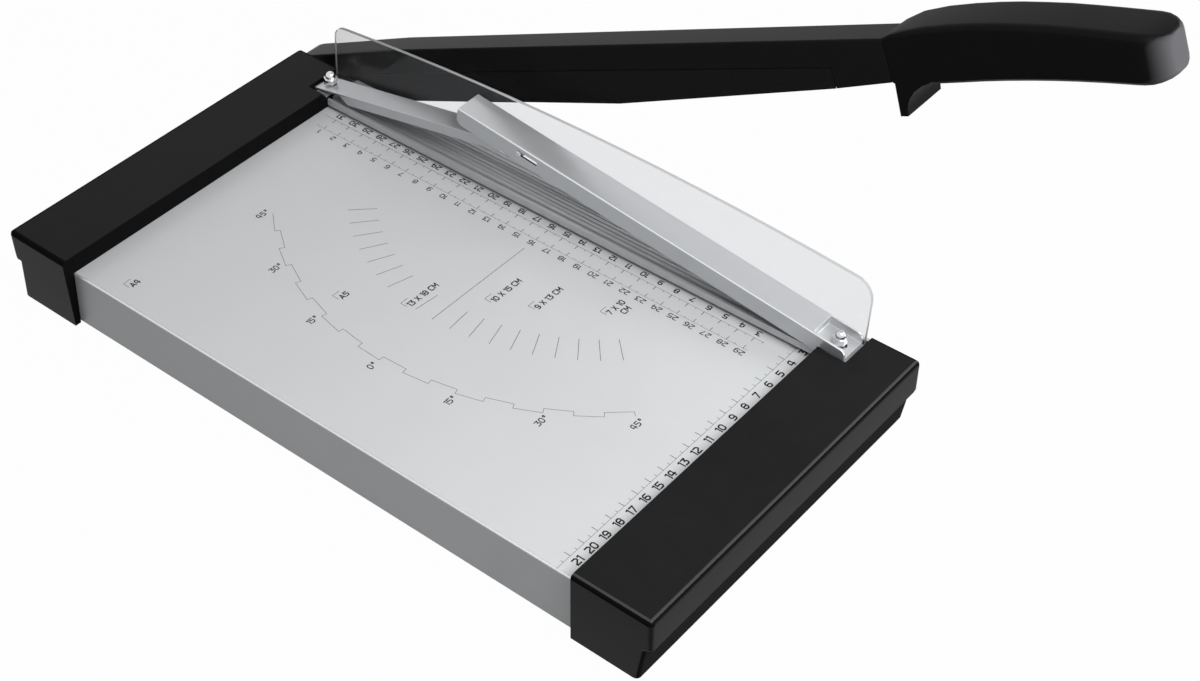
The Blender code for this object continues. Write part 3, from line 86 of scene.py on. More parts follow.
# %% Set up the camera
CAMERA_PLACE = (-0.62965, -0.5256, 0.7396)
CAMERA_RIGHT = (0.6475, -0.7620, 0.0016)
CAMERA_AHEAD = (0.5688, 0.4819, -0.6665)
LENS = 64.55
SENSOR = 36
FRAME_SHIFT = 0.129
camera_data = bpy.data.cameras.new("camera")
camera_data.lens = LENS
camera_data.sensor_width = SENSOR
camera_data.shift_x = FRAME_SHIFT
camera = bpy.data.objects.new("camera", camera_data)
bpy.context.scene.collection.objects.link(camera)
right = Vector(CAMERA_RIGHT).normalized()
ahead = Vector(CAMERA_AHEAD).normalized()
up = right.cross(ahead).normalized()
turn = Matrix((right, up, -ahead)).transposed().to_4x4()
camera.matrix_world = Matrix.Translation(CAMERA_PLACE) @ turn
bpy.context.scene.camera = camera
bpy.context.scene.view_settings.view_transform = "Standard"
print("camera looks along", tuple(round(v, 3) for v in ahead))

# %% [markdown]
# The photograph has a white background and almost no shadow. Floor and sky have to look white, but as real lamps
# they would flood the machine with light. A Light Path node tells who is looking: the camera, a mirror-like surface
# or a ray through the clear guard. Those see white, and every other ray meets the dimmer light meant for the machine.

# %% A helper for white backgrounds
def looked_at(tree):
    path = tree.nodes.new("ShaderNodeLightPath")
    seen = path.outputs["Is Camera Ray"]
    for ray in ("Is Glossy Ray", "Is Transmission Ray"):
        either = tree.nodes.new("ShaderNodeMath")
        either.operation = "MAXIMUM"
        tree.links.new(seen, either.inputs[0])
        tree.links.new(path.outputs[ray], either.inputs[1])
        seen = either.outputs[0]
    return seen


print("view transform", bpy.context.scene.view_settings.view_transform)

# %% [markdown]
# A large matt floor lies just under the feet. Nearly all of what the camera sees of it is white glow, and the small
# rest is grey paint that still takes the machine's soft shadow.

# %% Lay the floor
FLOOR_SIZE = 6
FLOOR_GAP = 0.0002
FLOOR_GREY = 0.24
FLOOR_GLOW = 0.985
FOOT_PLANE = cad_box[0][2]
bpy.ops.mesh.primitive_plane_add(size=FLOOR_SIZE, location=(0, 0, FOOT_PLANE - FLOOR_GAP))
floor = bpy.context.object
floor.name = "floor"
paper_white = bpy.data.materials.new("paper_white")
paper_white.use_nodes = True
ground = paper_white.node_tree
matt = ground.nodes["Principled BSDF"]
matt.inputs["Base Color"].default_value = (FLOOR_GREY, FLOOR_GREY, FLOOR_GREY, 1)
matt.inputs["Roughness"].default_value = 0.9
matt.inputs["Specular IOR Level"].default_value = 0.0
glow = ground.nodes.new("ShaderNodeEmission")
glow.inputs["Color"].default_value = (1, 1, 1, 1)
share = ground.nodes.new("ShaderNodeMath")
share.operation = "MULTIPLY"
share.inputs[1].default_value = FLOOR_GLOW
ground_mix = ground.nodes.new("ShaderNodeMixShader")
ground.links.new(looked_at(ground), share.inputs[0])
ground.links.new(share.outputs[0], ground_mix.inputs["Fac"])
ground.links.new(matt.outputs[0], ground_mix.inputs[1])
ground.links.new(glow.outputs[0], ground_mix.inputs[2])
ground.links.new(ground_mix.outputs[0], ground.nodes["Material Output"].inputs["Surface"])
floor.data.materials.append(paper_white)
print("floor at", round(FOOT_PLANE, 4))

# %% [markdown]
# The sky gives an even soft light from all sides, as in a light tent. It is dim for the machine and white for the
# camera, by the same helper.

# %% Light the sky
SKY_LIGHT = 0.25
SKY_WHITE = 1.0
world = bpy.data.worlds.new("studio")
bpy.context.scene.world = world
world.use_nodes = True
sky = world.node_tree
plain = sky.nodes["Background"]
bright = sky.nodes.new("ShaderNodeBackground")
for background, strength in ((plain, SKY_LIGHT), (bright, SKY_WHITE)):
    background.inputs["Color"].default_value = (1, 1, 1, 1)
    background.inputs["Strength"].default_value = strength
sky_mix = sky.nodes.new("ShaderNodeMixShader")
sky.links.new(looked_at(sky), sky_mix.inputs["Fac"])
sky.links.new(plain.outputs[0], sky_mix.inputs[1])
sky.links.new(bright.outputs[0], sky_mix.inputs[2])
sky.links.new(sky_mix.outputs[0], sky.nodes["World Output"].inputs["Surface"])
print("sky light", SKY_LIGHT)

# %% [markdown]
# Three soft lamps shape the machine. The main one hangs over the operator's end, so the board is bright near the
# front and darker far away. A weaker one to the operator's right lights the tops of the levers and the arm, and a low
# one beyond the handle shows the handle's end. Each row gives place, target, size and power.

# %% Hang the lamps
LAMPS = {
    "front_sheet": ((-0.06, -0.50, 0.74), (-0.04, -0.08, 0.03), (0.5, 0.5), 6.2),
    "behind_the_arm": ((0.66, -0.62, 0.66), (0.02, -0.06, 0.03), (0.4, 0.4), 2.3),
    "operator_side": ((0.70, -1.05, 0.12), (0.1, -0.25, 0.15), (0.35, 0.25), 2.0),
}
for name, (place, target, size, power) in LAMPS.items():
    lamp = bpy.data.lights.new(name, "AREA")
    lamp.shape = "RECTANGLE"
    lamp.size, lamp.size_y = size
    lamp.energy = power
    holder = bpy.data.objects.new(name, lamp)
    bpy.context.scene.collection.objects.link(holder)
    holder.location = place
    holder.rotation_euler = (Vector(target) - Vector(place)).to_track_quat("-Z", "Y").to_euler()
print("lamps:", [lamp.name for lamp in bpy.data.lights])

# %% [markdown]
# Every finish starts from one Principled shader. A broad noise on Object coordinates varies its colour a little. A
# fine one varies its roughness and gives the relief that plastic grain, brushed metal or rubber really has. A small
# value in stretch draws the noise out along that axis, as brushing does.

# %% A helper for finishes
BROADER = 30
GLOSS_SPREAD = 0.15
RELIEF_DEPTH = 0.0004


def finish(name, colour, roughness, metallic=0.0, gloss_level=0.5, grain=900.0, relief=0.02, variation=0.06,
           stretch=(1, 1, 1)):
    material = bpy.data.materials.new(name)
    material.use_nodes = True
    nodes, links = material.node_tree.nodes, material.node_tree.links
    shader = nodes["Principled BSDF"]
    shader.inputs["Metallic"].default_value = metallic
    shader.inputs["Specular IOR Level"].default_value = gloss_level
    place = nodes.new("ShaderNodeTexCoord")
    mapping = nodes.new("ShaderNodeMapping")
    mapping.inputs["Scale"].default_value = stretch
    links.new(place.outputs["Object"], mapping.inputs["Vector"])
    broad = nodes.new("ShaderNodeTexNoise")
    broad.inputs["Scale"].default_value = grain / BROADER
    broad.inputs["Detail"].default_value = 4
    fine = nodes.new("ShaderNodeTexNoise")
    fine.inputs["Scale"].default_value = grain
    fine.inputs["Detail"].default_value = 3
    links.new(mapping.outputs[0], broad.inputs["Vector"])
    links.new(mapping.outputs[0], fine.inputs["Vector"])
    tone = nodes.new("ShaderNodeMix")
    tone.data_type = "RGBA"
    tone.inputs["A"].default_value = (*[c * (1 - variation) for c in colour], 1)
    tone.inputs["B"].default_value = (*[min(c * (1 + variation), 1) for c in colour], 1)
    links.new(broad.outputs["Fac"], tone.inputs["Factor"])
    links.new(tone.outputs["Result"], shader.inputs["Base Color"])
    gloss = nodes.new("ShaderNodeMapRange")
    gloss.inputs["To Min"].default_value = roughness * (1 - GLOSS_SPREAD)
    gloss.inputs["To Max"].default_value = min(roughness * (1 + GLOSS_SPREAD), 1)
    links.new(fine.outputs["Fac"], gloss.inputs["Value"])
    links.new(gloss.outputs["Result"], shader.inputs["Roughness"])
    bump = nodes.new("ShaderNodeBump")
    bump.inputs["Strength"].default_value = relief
    bump.inputs["Distance"].default_value = RELIEF_DEPTH
    links.new(fine.outputs["Fac"], bump.inputs["Height"])
    links.new(bump.outputs[0], shader.inputs["Normal"])
    return material


print("fine relief is", RELIEF_DEPTH * 1000, "mm deep")

# %% [markdown]
# The board is lacquered silver, which is paint with fine flakes and hardly a metal to the eye. Caps, arm, blade and
# grip are four different blacks. They are kept very dark with little gloss, because they mirror the white studio
# and would turn grey otherwise. The levers and the rail are satin metal, brushed along their length. Each row gives
# colour, roughness, metal and gloss, and then the grain.

# %% Mix the finishes
finishes = {
    "bed_paint": finish("board_silver", (0.63, 0.642, 0.655), 0.42, 0.08, 0.3, grain=1500, relief=0.02,
                        variation=0.02),
    "cap_plastic": finish("cap_black", (0.011, 0.011, 0.0115), 0.30, 0.0, 0.055, grain=2200, relief=0.04,
                          variation=0.15),
    "foot_rubber": finish("foot_rubber", (0.02, 0.02, 0.02), 0.85, 0.0, 0.2, grain=1800, relief=0.15, variation=0.2),
    "zinc": finish("zinc_plate", (0.60, 0.61, 0.63), 0.4, 1.0, grain=700, relief=0.02, variation=0.08),
    "blade_steel": finish("ground_steel", (0.52, 0.52, 0.53), 0.3, 1.0, grain=600, relief=0.03, variation=0.06,
                          stretch=(0.06, 1, 1)),
    "brass": finish("bush_brass", (0.68, 0.5, 0.22), 0.35, 1.0, grain=800, relief=0.03),
    "arm_black": finish("arm_black", (0.0085, 0.0085, 0.0088), 0.32, 0.0, 0.032, grain=1800, relief=0.05,
                        variation=0.15),
    "blade_black": finish("blade_black", (0.009, 0.009, 0.0094), 0.28, 0.0, 0.04, grain=1500, relief=0.02,
                          variation=0.1),
    "grip": finish("grip_charcoal", (0.0045, 0.0045, 0.005), 0.42, 0.0, 0.03, grain=2600, relief=0.2,
                   variation=0.12),
    "lever_metal": finish("lever_satin", (0.55, 0.56, 0.575), 0.3, 0.55, grain=1100, relief=0.003, variation=0.02,
                          stretch=(1, 0.05, 1)),
    "chrome": finish("chrome", (0.66, 0.665, 0.675), 0.16, 1.0, grain=500, relief=0.004, variation=0.03),
    "rail_metal": finish("rail_alloy", (0.52, 0.52, 0.53), 0.42, 0.3, grain=1200, relief=0.006, variation=0.04,
                         stretch=(1, 0.04, 1)),
}
print(len(finishes), "finishes")

# %% [markdown]
# The guard is clear plastic. A thin sheet of it hardly bends the light, so its shader lets nearly all light through
# with a low index and a little grey tint. Its sawn rim is a paler, rougher kind of the same, as it gathers the light.

# %% Mix the guard's clear plastic
GUARD_TINT = (0.83, 0.835, 0.85)
RIM_TINT = (0.50, 0.51, 0.52)


def clear_plastic(name, colour, transmission, roughness, refraction):
    material = bpy.data.materials.new(name)
    material.use_nodes = True
    shader = material.node_tree.nodes["Principled BSDF"]
    shader.inputs["Base Color"].default_value = (*colour, 1)
    shader.inputs["Transmission Weight"].default_value = transmission
    shader.inputs["IOR"].default_value = refraction
    shader.inputs["Roughness"].default_value = roughness
    return material


finishes["clear_guard"] = clear_plastic("guard_clear", GUARD_TINT, transmission=0.98, roughness=0.02, refraction=1.2)
guard_rim = clear_plastic("guard_rim", RIM_TINT, transmission=0.45, roughness=0.3, refraction=1.1)
print("guard tint", GUARD_TINT, "and rim tint", RIM_TINT)

# %% [markdown]
# Two finishes change along their piece: the guard's tint turns greyer towards the arm's pivot, and the grip's end gets
# a painted highlight that makes it paler. Both could be painted on an image, but a ramp in the material needs none. One
# helper turns a stretch along Y into a value from 0 to 1, and the other blends a finish's colour towards a second one.

# %% Haze on the guard
HAZE_START, HAZE_END = 0.10, 0.17
PIVOT_GREY_TINT = (0.66, 0.66, 0.67)


def ramp_y(tree, source, start, end):
    place = tree.nodes.new("ShaderNodeTexCoord")
    axes = tree.nodes.new("ShaderNodeSeparateXYZ")
    ramp = tree.nodes.new("ShaderNodeMapRange")
    ramp.inputs["From Min"].default_value = start
    ramp.inputs["From Max"].default_value = end
    tree.links.new(place.outputs[source], axes.inputs[0])
    tree.links.new(axes.outputs["Y"], ramp.inputs["Value"])
    return ramp.outputs["Result"]


def blend_colour(tree, factor, colour):
    base = tree.nodes["Principled BSDF"].inputs["Base Color"]
    tone = tree.nodes.new("ShaderNodeMix")
    tone.data_type = "RGBA"
    tone.inputs["B"].default_value = (*colour, 1)
    if base.is_linked:
        tree.links.new(base.links[0].from_socket, tone.inputs["A"])
    else:
        tone.inputs["A"].default_value = tuple(base.default_value)
    tree.links.new(factor, tone.inputs["Factor"])
    tree.links.new(tone.outputs["Result"], base)


sheet = finishes["clear_guard"].node_tree
# The guard's tint turns greyer towards the arm's pivot.
blend_colour(sheet, ramp_y(sheet, "Object", HAZE_START, HAZE_END), PIVOT_GREY_TINT)
print("guard hazes from", HAZE_START, "to", HAZE_END)

# %% [markdown]
# The handle's end faces the operator and is clearly paler than its sides in the photograph, like matt plastic in full
# light, so its colour gets a painted highlight. The change follows the surface's own direction, so it fades round the
# end's curve, and a second ramp keeps it away from the finger stop, which faces the same way.

# %% Paint a highlight on the grip's end
END_SIDE, END_FULL = -0.25, -0.95
END_FADE, END_DONE = 0.035, 0.015
END_HIGHLIGHT_GREY = (0.105, 0.105, 0.112)
GRIP_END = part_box("handle_grip")[0][1]
grip = finishes["grip"].node_tree
end_highlight_share = grip.nodes.new("ShaderNodeMath")
end_highlight_share.operation = "MULTIPLY"
grip.links.new(ramp_y(grip, "Normal", END_SIDE, END_FULL), end_highlight_share.inputs[0])
grip.links.new(ramp_y(grip, "Object", GRIP_END + END_FADE, GRIP_END + END_DONE), end_highlight_share.inputs[1])
# The grip's colour is blended towards a paler grey here, as a painted highlight on its end.
blend_colour(grip, end_highlight_share.outputs[0], END_HIGHLIGHT_GREY)
print("grip ends at", round(GRIP_END, 4))

# %% [markdown]
# The record names a finish for every node. Those whose shape is already right only need it put in their slots.

# %% Dress the nodes
slot_of = {row["node"]: row["material_slot"] for row in frame["record"]["subparts"]}
body_of = {node: body for body, nodes in frame["record"]["behaviour"]["bodies"].items() for node in nodes}
for name, node in frame["nodes"].items():
    node.data.materials.clear()
    node.data.materials.append(finishes[slot_of[name]])
print("dressed", len(slot_of), "nodes")

# %% [markdown]
# Real edges are never perfectly sharp. Where a node's shape is right but its edges are bare, a copy stands for it.
# The copy's loose triangles are merged into one skin first, so that it can be shaped in edit mode.

# %% Helpers for copies of nodes
MERGE_DISTANCE = 0.000005
FLAT_ANGLE = math.radians(0.2)


def take(piece):
    bpy.ops.object.select_all(action="DESELECT")
    piece.select_set(True)
    bpy.context.view_layer.objects.active = piece


def pick(piece, test):
    take(piece)
    bpy.ops.object.mode_set(mode="EDIT")
    bpy.ops.mesh.select_mode(type="VERT")
    bpy.ops.mesh.select_all(action="DESELECT")
    bpy.ops.object.mode_set(mode="OBJECT")
    chosen = 0
    for vertex in piece.data.vertices:
        vertex.select = test(vertex.co)
        chosen += vertex.select
    bpy.ops.object.mode_set(mode="EDIT")
    return chosen


def merged(node_name):
    node = frame["nodes"][node_name]
    copy = bpy.data.objects.new(node_name + "_finished", node.data.copy())
    bpy.context.scene.collection.objects.link(copy)
    pick(copy, lambda place: True)
    bpy.ops.mesh.remove_doubles(threshold=MERGE_DISTANCE)
    bpy.ops.mesh.dissolve_limited(angle_limit=FLAT_ANGLE)
    bpy.ops.object.mode_set(mode="OBJECT")
    return copy


def shift(piece, test, move):
    count = pick(piece, test)
    bpy.ops.transform.translate(value=move)
    bpy.ops.object.mode_set(mode="OBJECT")
    return count


print("points closer than", MERGE_DISTANCE * 1000, "mm are merged")

# %% [markdown]
# A Bevel rounds the edges, and the Weighted Normal keeps the flat faces flat in the light, so only the edge catches
# it. A second finish can be laid on the bevelled strips, as a painted highlight. Faces are painted by their
# middle and their direction.

# %% Helpers for edges and finishes
EDGE_SEGMENTS = 2
EDGE_ANGLE = math.radians(30)
SMOOTH_ANGLE = math.radians(40)
FLAT_WEIGHT = 80


def rounded(piece, width, highlight_finish=None):
    take(piece)
    edge = piece.modifiers.new("edge", "BEVEL")
    edge.width = width
    edge.segments = EDGE_SEGMENTS
    edge.angle_limit = EDGE_ANGLE
    if highlight_finish:
        piece.data.materials.clear()
        piece.data.materials.append(highlight_finish)
        piece.data.materials.append(highlight_finish)
        edge.material = 1
    bpy.ops.object.modifier_apply(modifier="edge")
    bpy.ops.object.shade_smooth_by_angle(angle=SMOOTH_ANGLE)
    shading = piece.modifiers.new("shading", "WEIGHTED_NORMAL")
    shading.keep_sharp = True
    shading.weight = FLAT_WEIGHT
    bpy.ops.object.modifier_apply(modifier="shading")


def paint(piece, test, material):
    piece.data.materials.append(material)
    index = len(piece.data.materials) - 1
    count = 0
    for face in piece.data.polygons:
        if test(face.center, face.normal):
            face.material_index = index
            count += 1
    return count


def stand_for(piece, node_name):
    if not piece.data.materials:
        piece.data.materials.append(None)
    piece.data.materials[0] = finishes[slot_of[node_name]]
    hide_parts(node_name)
    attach(piece, body_of[node_name])
    print(piece.name, len(piece.data.polygons), "faces")


print("edges sharper than", round(math.degrees(EDGE_ANGLE)), "degrees are rounded")

# %% [markdown]
# The caps are hollow mouldings with a recess along their outer wall. In the photograph their lower parts lean a
# little to the back, and the far cap's recess starts higher and its foot stands further out. Only some corner points
# are off, so they are picked by place and moved, which is quicker than a new moulding.

# %% Shape the caps
CAP_OUT = {"pivot_cap": 0.2035, "operator_cap": 0.2063}
CAP_BACK = 0.10175
CAP_ROUND = 0.0025
RECESS_LOW = 0.022
RECESS_HIGH = 0.0245
NEAR = 0.0008
LEAN = 0.003
FAR_FOOT_SKIN, FAR_FOOT_OUT = 0.0092, 0.0048
FAR_STEP_SKIN, FAR_STEP_UP = 0.0062, 0.0022
caps = {name: merged(name) for name in CAP_OUT}


def back_skin(p):
    return p.x > CAP_BACK - CAP_ROUND + 0.0001


def at_step(p):
    return RECESS_LOW - NEAR < p.z < RECESS_HIGH + NEAR


for name, cap in caps.items():
    foot = shift(cap, lambda p: back_skin(p) and p.z < NEAR, (LEAN, 0, 0))
    step = shift(cap, lambda p: back_skin(p) and at_step(p), (LEAN / 2, 0, 0))
    print(name, foot, "foot points and", step, "step points lean back")
far_out = CAP_OUT["pivot_cap"]
foot = shift(caps["pivot_cap"], lambda p: far_out - FAR_FOOT_SKIN < p.y < far_out and p.z < NEAR,
             (0, FAR_FOOT_OUT, 0))
step = shift(caps["pivot_cap"], lambda p: p.y > far_out - FAR_STEP_SKIN and at_step(p), (0, 0, FAR_STEP_UP))
print("far cap:", foot, "foot points out,", step, "step points up")

# %% [markdown]
# The near cap's recess has sharp outer corners, while the model's are round. Scaling a corner's points towards its
# tip pulls the curve tight and keeps the skin closed.

# %% Sharpen the near cap's recess corners
RECESS_SET = 0.0035
FOOT_SET = 0.0065
SHARPER = (0.25, 0.25, 1)
REACH = CAP_ROUND + 0.0002
near_out = CAP_OUT["operator_cap"]
for low, high, depth, back in ((-1, NEAR, FOOT_SET, CAP_BACK + LEAN),
                               (RECESS_LOW - NEAR, RECESS_LOW + NEAR, RECESS_SET, CAP_BACK + LEAN / 2)):
    corner = (back, -(near_out - depth), 0)
    count = pick(caps["operator_cap"], lambda p: low < p.z < high and p.x > corner[0] - REACH
                 and p.y < corner[1] + REACH)
    bpy.ops.transform.resize(value=SHARPER, center_override=corner)
    bpy.ops.object.mode_set(mode="OBJECT")
    print(count, "corner points")

# %% [markdown]
# Each cap is one moulding, yet its faces don't look alike. The narrow band under the top is duller, the recess, the
# wall towards the board and strips along the top edges get painted shade, and the near cap's upper edge a painted
# highlight. These are three more blacks on picked faces. The direction of a face tells a bevelled strip from the flat
# beside it.

# %% Round and paint the caps
CAP_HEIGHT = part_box("pivot_cap")[1][2]
CAP_EDGE = 0.0003
BAND_SKIN, RECESS_SKIN, INNER_WALL, TOP_SKIN = 0.004, 0.012, 0.030, 0.003
cap_band = finish("cap_band", (0.011, 0.011, 0.0115), 0.35, 0.0, 0.028, grain=2200, relief=0.04, variation=0.15)
painted_shade_black = finish("cap_painted_shade", (0.006, 0.006, 0.0063), 0.6, 0.0, 0.008, grain=2400, relief=0.1, variation=0.15)
painted_highlight_edge = finish("cap_painted_highlight", (0.05, 0.05, 0.051), 0.3, 0.0, 0.1, grain=2200, relief=0.01)


def on_top(c):
    return c.z > CAP_HEIGHT - TOP_SKIN


for name, cap in caps.items():
    side = 1 if name == "pivot_cap" else -1
    out = CAP_OUT[name]
    lower_edge = (0.5, 0.99 if side > 0 else 0.88)
    rounded(cap, CAP_EDGE)
    stand_for(cap, name)
    paint(cap, lambda c, n: n.y * side > 0.6 and c.y * side > out - BAND_SKIN, cap_band)
    # Painted shade: the recess, the wall towards the board and the strips along the top edges get a darker black.
    paint(cap, lambda c, n: n.y * side > 0.6 and c.z < RECESS_LOW and c.y * side > out - RECESS_SKIN, painted_shade_black)
    paint(cap, lambda c, n: n.y * side < -0.9 and c.y * side < out - INNER_WALL, painted_shade_black)
    paint(cap, lambda c, n: on_top(c) and 0.1 < n.z < 0.99 and n.x > 0.1, painted_shade_black)
    paint(cap, lambda c, n: on_top(c) and 0.1 < n.z < 0.98 and n.x < -0.15, painted_shade_black)
    paint(cap, lambda c, n: on_top(c) and lower_edge[0] < n.z < lower_edge[1] and n.y * side > 0.1, painted_shade_black)
    # Painted highlight: the near cap's upper edge strips get a paler black.
    lit = paint(cap, lambda c, n: on_top(c) and 0.88 < n.z < 0.99 and side < 0
                and (n.y * side > 0.1 or n.x < -0.1), painted_highlight_edge)
    print(lit, "polished edge faces")

# %% [markdown]
# The other pieces keep their shape and only get their edges. A folded sheet has a tighter edge than a moulding, so
# each piece has its own width. The levers' bevelled strips get a near-white metal, which is a painted highlight.

# %% Round the other pieces' edges
EDGES = {"arm": 0.0004, "handle_grip": 0.0006, "blade": 0.00005,
         "front_press_lever": 0.00016, "rear_press_lever": 0.00016, "clamp_rail": 0.0001, "finger_guard": 0.0002,
         "fixed_blade": 0.00015, "pivot_bracket": 0.0003, "back_bar": 0.0002, "bed_sheet": 0.0001,
         "front_cap_nut": 0.00025, "rear_cap_nut": 0.00025, "pivot_lock_nut": 0.0003}
# Painted highlight: the levers' bevelled strips get a near-white metal.
lever_painted_highlight = finish("lever_painted_highlight", (0.95, 0.955, 0.96), 0.3, 0.3, grain=1100, relief=0.003, variation=0.02)
finished = {}
for name, width in EDGES.items():
    piece = merged(name)
    rounded(piece, width, highlight_finish=lever_painted_highlight if slot_of[name] == "lever_metal" else None)
    stand_for(piece, name)
    finished[name] = piece
print(len(finished), "pieces rounded")

# %% [markdown]
# The board's front fold is a bright line in the photograph, and so are the long folds of the two levers. These narrow
# strips get a painted highlight. They look up and to the front, and are picked that way.

# %% Paint highlights on the folds
FOLD_SKIN = 0.003
fold_painted_highlight = finish("fold_painted_highlight", (0.86, 0.87, 0.88), 0.25, 0.5, 0.5, grain=900, relief=0.01, variation=0.08)
# Painted highlight along the board's front fold.
count = paint(finished["bed_sheet"], lambda c, n: c.x < BOARD_FRONT + FOLD_SKIN and c.z > BOARD_TOP - FOLD_SKIN
              and n.x < -0.25 and 0.55 < n.z < 0.85, fold_painted_highlight)
# The levers' long folds get the same painted highlight as their bevelled strips.
for name in ("front_press_lever", "rear_press_lever"):
    count += paint(finished[name], lambda c, n: n.x < -0.35 and 0.45 < n.z < 0.92, lever_painted_highlight)
print(count, "fold faces")

# %% [markdown]
# The link pin slides in a slot in the front lever's side, which looks dark from a distance. Its walls get a painted
# shade, and dark walls show the slot well. They are the faces close to the pin that don't look sideways.

# %% Paint shade into the slot
SHADE_ALONG, SHADE_HIGH = 0.018, 0.005
slot_painted_shade = finish("slot_shade_steel", (0.02, 0.02, 0.02), 0.5, 0.3, 0.2, grain=900, relief=0.05, variation=0.3)
pin_low, pin_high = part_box("link_pin")
pin = [(pin_low[axis] + pin_high[axis]) / 2 for axis in range(3)]
# Painted shade on the slot's walls.
count = paint(finished["front_press_lever"], lambda c, n: abs(c.y - pin[1]) < SHADE_ALONG
              and abs(c.z - pin[2]) < SHADE_HIGH and abs(n.x) < 0.7 and n.z > -0.2, slot_painted_shade)
print(count, "greased faces in the slot at", [round(v, 4) for v in pin])

# %% [markdown]
# The guard's sawn rim scatters light, so it looks paler than the sheet over dark things and greyer over white ones.
# Faces of the rim are those that don't look straight through the sheet.

# %% Give the guard its rim
print(paint(finished["finger_guard"], lambda c, n: abs(n.x) < 0.9, guard_rim), "rim faces")

# %% [markdown]
# The board is printed. Ink could be part of the board's material, but a printed line is sharper as a shape of its
# own: a flat bar with a hair's thickness that lies on the paint. Each print is made of many bars joined to one mesh.

# %% Ink and its helpers
ink = finish("scale_ink", (0.008, 0.009, 0.011), 0.6, 0.0, 0.1, grain=3000, relief=0.02, variation=0.2)
pale_ink = finish("pale_ink", (0.018, 0.019, 0.022), 0.6, 0.0, 0.1, grain=3000, relief=0.02, variation=0.3)
INK = 0.00003
FIRM, USUAL, LIGHT, CORNER, FINE, HAIR, FAINT = 0.00034, 0.00028, 0.00024, 0.00022, 0.0002, 0.00016, 0.00014


def joined(objects):
    take(objects[0])
    for item in objects:
        item.select_set(True)
    if len(objects) > 1:
        bpy.ops.object.join()
    return bpy.context.object


def finish_print(name, objects, colour=ink):
    piece = joined(objects)
    bpy.ops.object.transform_apply(location=True, rotation=True, scale=True)
    piece.name = name
    piece.data.materials.clear()
    piece.data.materials.append(colour)
    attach(piece, "base")
    return piece


def bar(start, end, width=USUAL, base=BOARD_TOP, thickness=INK):
    start, end = Vector(start), Vector(end)
    bpy.ops.mesh.primitive_plane_add(size=1)
    mark = bpy.context.object
    run = end - start
    middle = (start + end) / 2
    mark.scale = (run.length, width, 1)
    mark.rotation_euler = (0, 0, math.atan2(run.y, run.x))
    mark.location = (middle.x, middle.y, base)
    bpy.ops.object.transform_apply(location=True, rotation=True, scale=True)
    bpy.ops.object.mode_set(mode="EDIT")
    bpy.ops.mesh.select_all(action="SELECT")
    bpy.ops.mesh.extrude_region_move(TRANSFORM_OT_translate={"value": (0, 0, thickness)})
    bpy.ops.mesh.select_all(action="SELECT")
    bpy.ops.mesh.normals_make_consistent(inside=False)
    bpy.ops.object.mode_set(mode="OBJECT")
    return mark


print("ink is", INK * 1000, "mm thick")

# %% [markdown]
# The numbers are wide, with square shoulders, and no font at hand is like them. Each sign is a path of straight
# strokes in a box one unit high, drawn once with the same bars as the scales, in a plain and a bold weight.

# %% Draw each sign once
WIDE = 0.74
CUT_CORNER = 0.2
STROKES = {"plain": 0.18, "bold": 0.22}
DEGREE = "\u00b0"
far, low, top = WIDE - CUT_CORNER, CUT_CORNER, 1 - CUT_CORNER
loop = [(low, 0), (far, 0), (WIDE, low), (WIDE, top), (far, 1), (low, 1), (0, top), (0, low), (low, 0)]
SIGNS = {
    "0": [loop],
    "1": [[(0.0, 0.94), (0.26, 1), (0.26, 0)]],
    "2": [[(0, 1), (far, 1), (WIDE, top), (WIDE, 0.64), (0, 0.16), (0, 0), (WIDE, 0)]],
    "3": [[(0, 1), (WIDE, 1), (0.36, 0.58), (far, 0.58), (WIDE, 0.42), (WIDE, low), (far, 0), (0, 0)]],
    "4": [[(0.60, 0), (0.60, 1), (low, 1), (0, top), (0, 0.32), (WIDE + 0.06, 0.32)]],
    "5": [[(WIDE, 1), (0, 1), (0, 0.57), (far, 0.57), (WIDE, 0.42), (WIDE, low), (far, 0), (0, 0)]],
    "6": [[(WIDE, 1), (low, 1), (0, top), (0, low), (low, 0), (far, 0), (WIDE, low), (WIDE, 0.42), (far, 0.57),
           (0, 0.57)]],
    "7": [[(0, 1), (WIDE, 1), (0.24, 0)]],
    "8": [loop, [(0.05, 0.52), (WIDE - 0.05, 0.52)]],
    "9": [[(0, 0), (far, 0), (WIDE, low), (WIDE, top), (far, 1), (low, 1), (0, top), (0, 0.58), (low, 0.43),
           (WIDE, 0.43)]],
    "A": [[(0, 0), (0.42, 1), (0.84, 0)], [(0.16, 0.3), (0.68, 0.3)]],
    "X": [[(0, 0), (0.74, 1)], [(0, 1), (0.74, 0)]],
    "C": [[(WIDE, 1), (low, 1), (0, top), (0, low), (low, 0), (WIDE, 0)]],
    "M": [[(0, 0), (0, 1), (0.46, 0.36), (0.92, 1), (0.92, 0)]],
    DEGREE: [[(0.16, 0.70), (0.46, 0.70), (0.46, 1.02), (0.16, 1.02), (0.16, 0.70)]],
}


def draw_sign(paths, stroke_width):
    strokes = []
    for path in paths:
        for begin, end in zip(path, path[1:]):
            begin, end = Vector(begin), Vector(end)
            reach = (end - begin).normalized() * stroke_width / 2
            strokes.append(bar(begin - reach, end + reach, stroke_width, 0, 1))
    shape = joined(strokes).data.copy()
    bpy.ops.object.delete()
    return shape


signs = {(weight, name): draw_sign(paths, width) for weight, width in STROKES.items() for name, paths in SIGNS.items()}
sign_width = {name: max(x for path in paths for x, y in path) for name, paths in SIGNS.items()}
print(len(signs), "signs drawn")

# %% [markdown]
# Every number or word is a row of copies of the signs, each with its own mesh, scaled to the height of the print and
# to the thickness of the ink.

# %% A helper for numbers and words
SIGN_GAP = 0.36
WORD_GAP = WIDE * 0.75


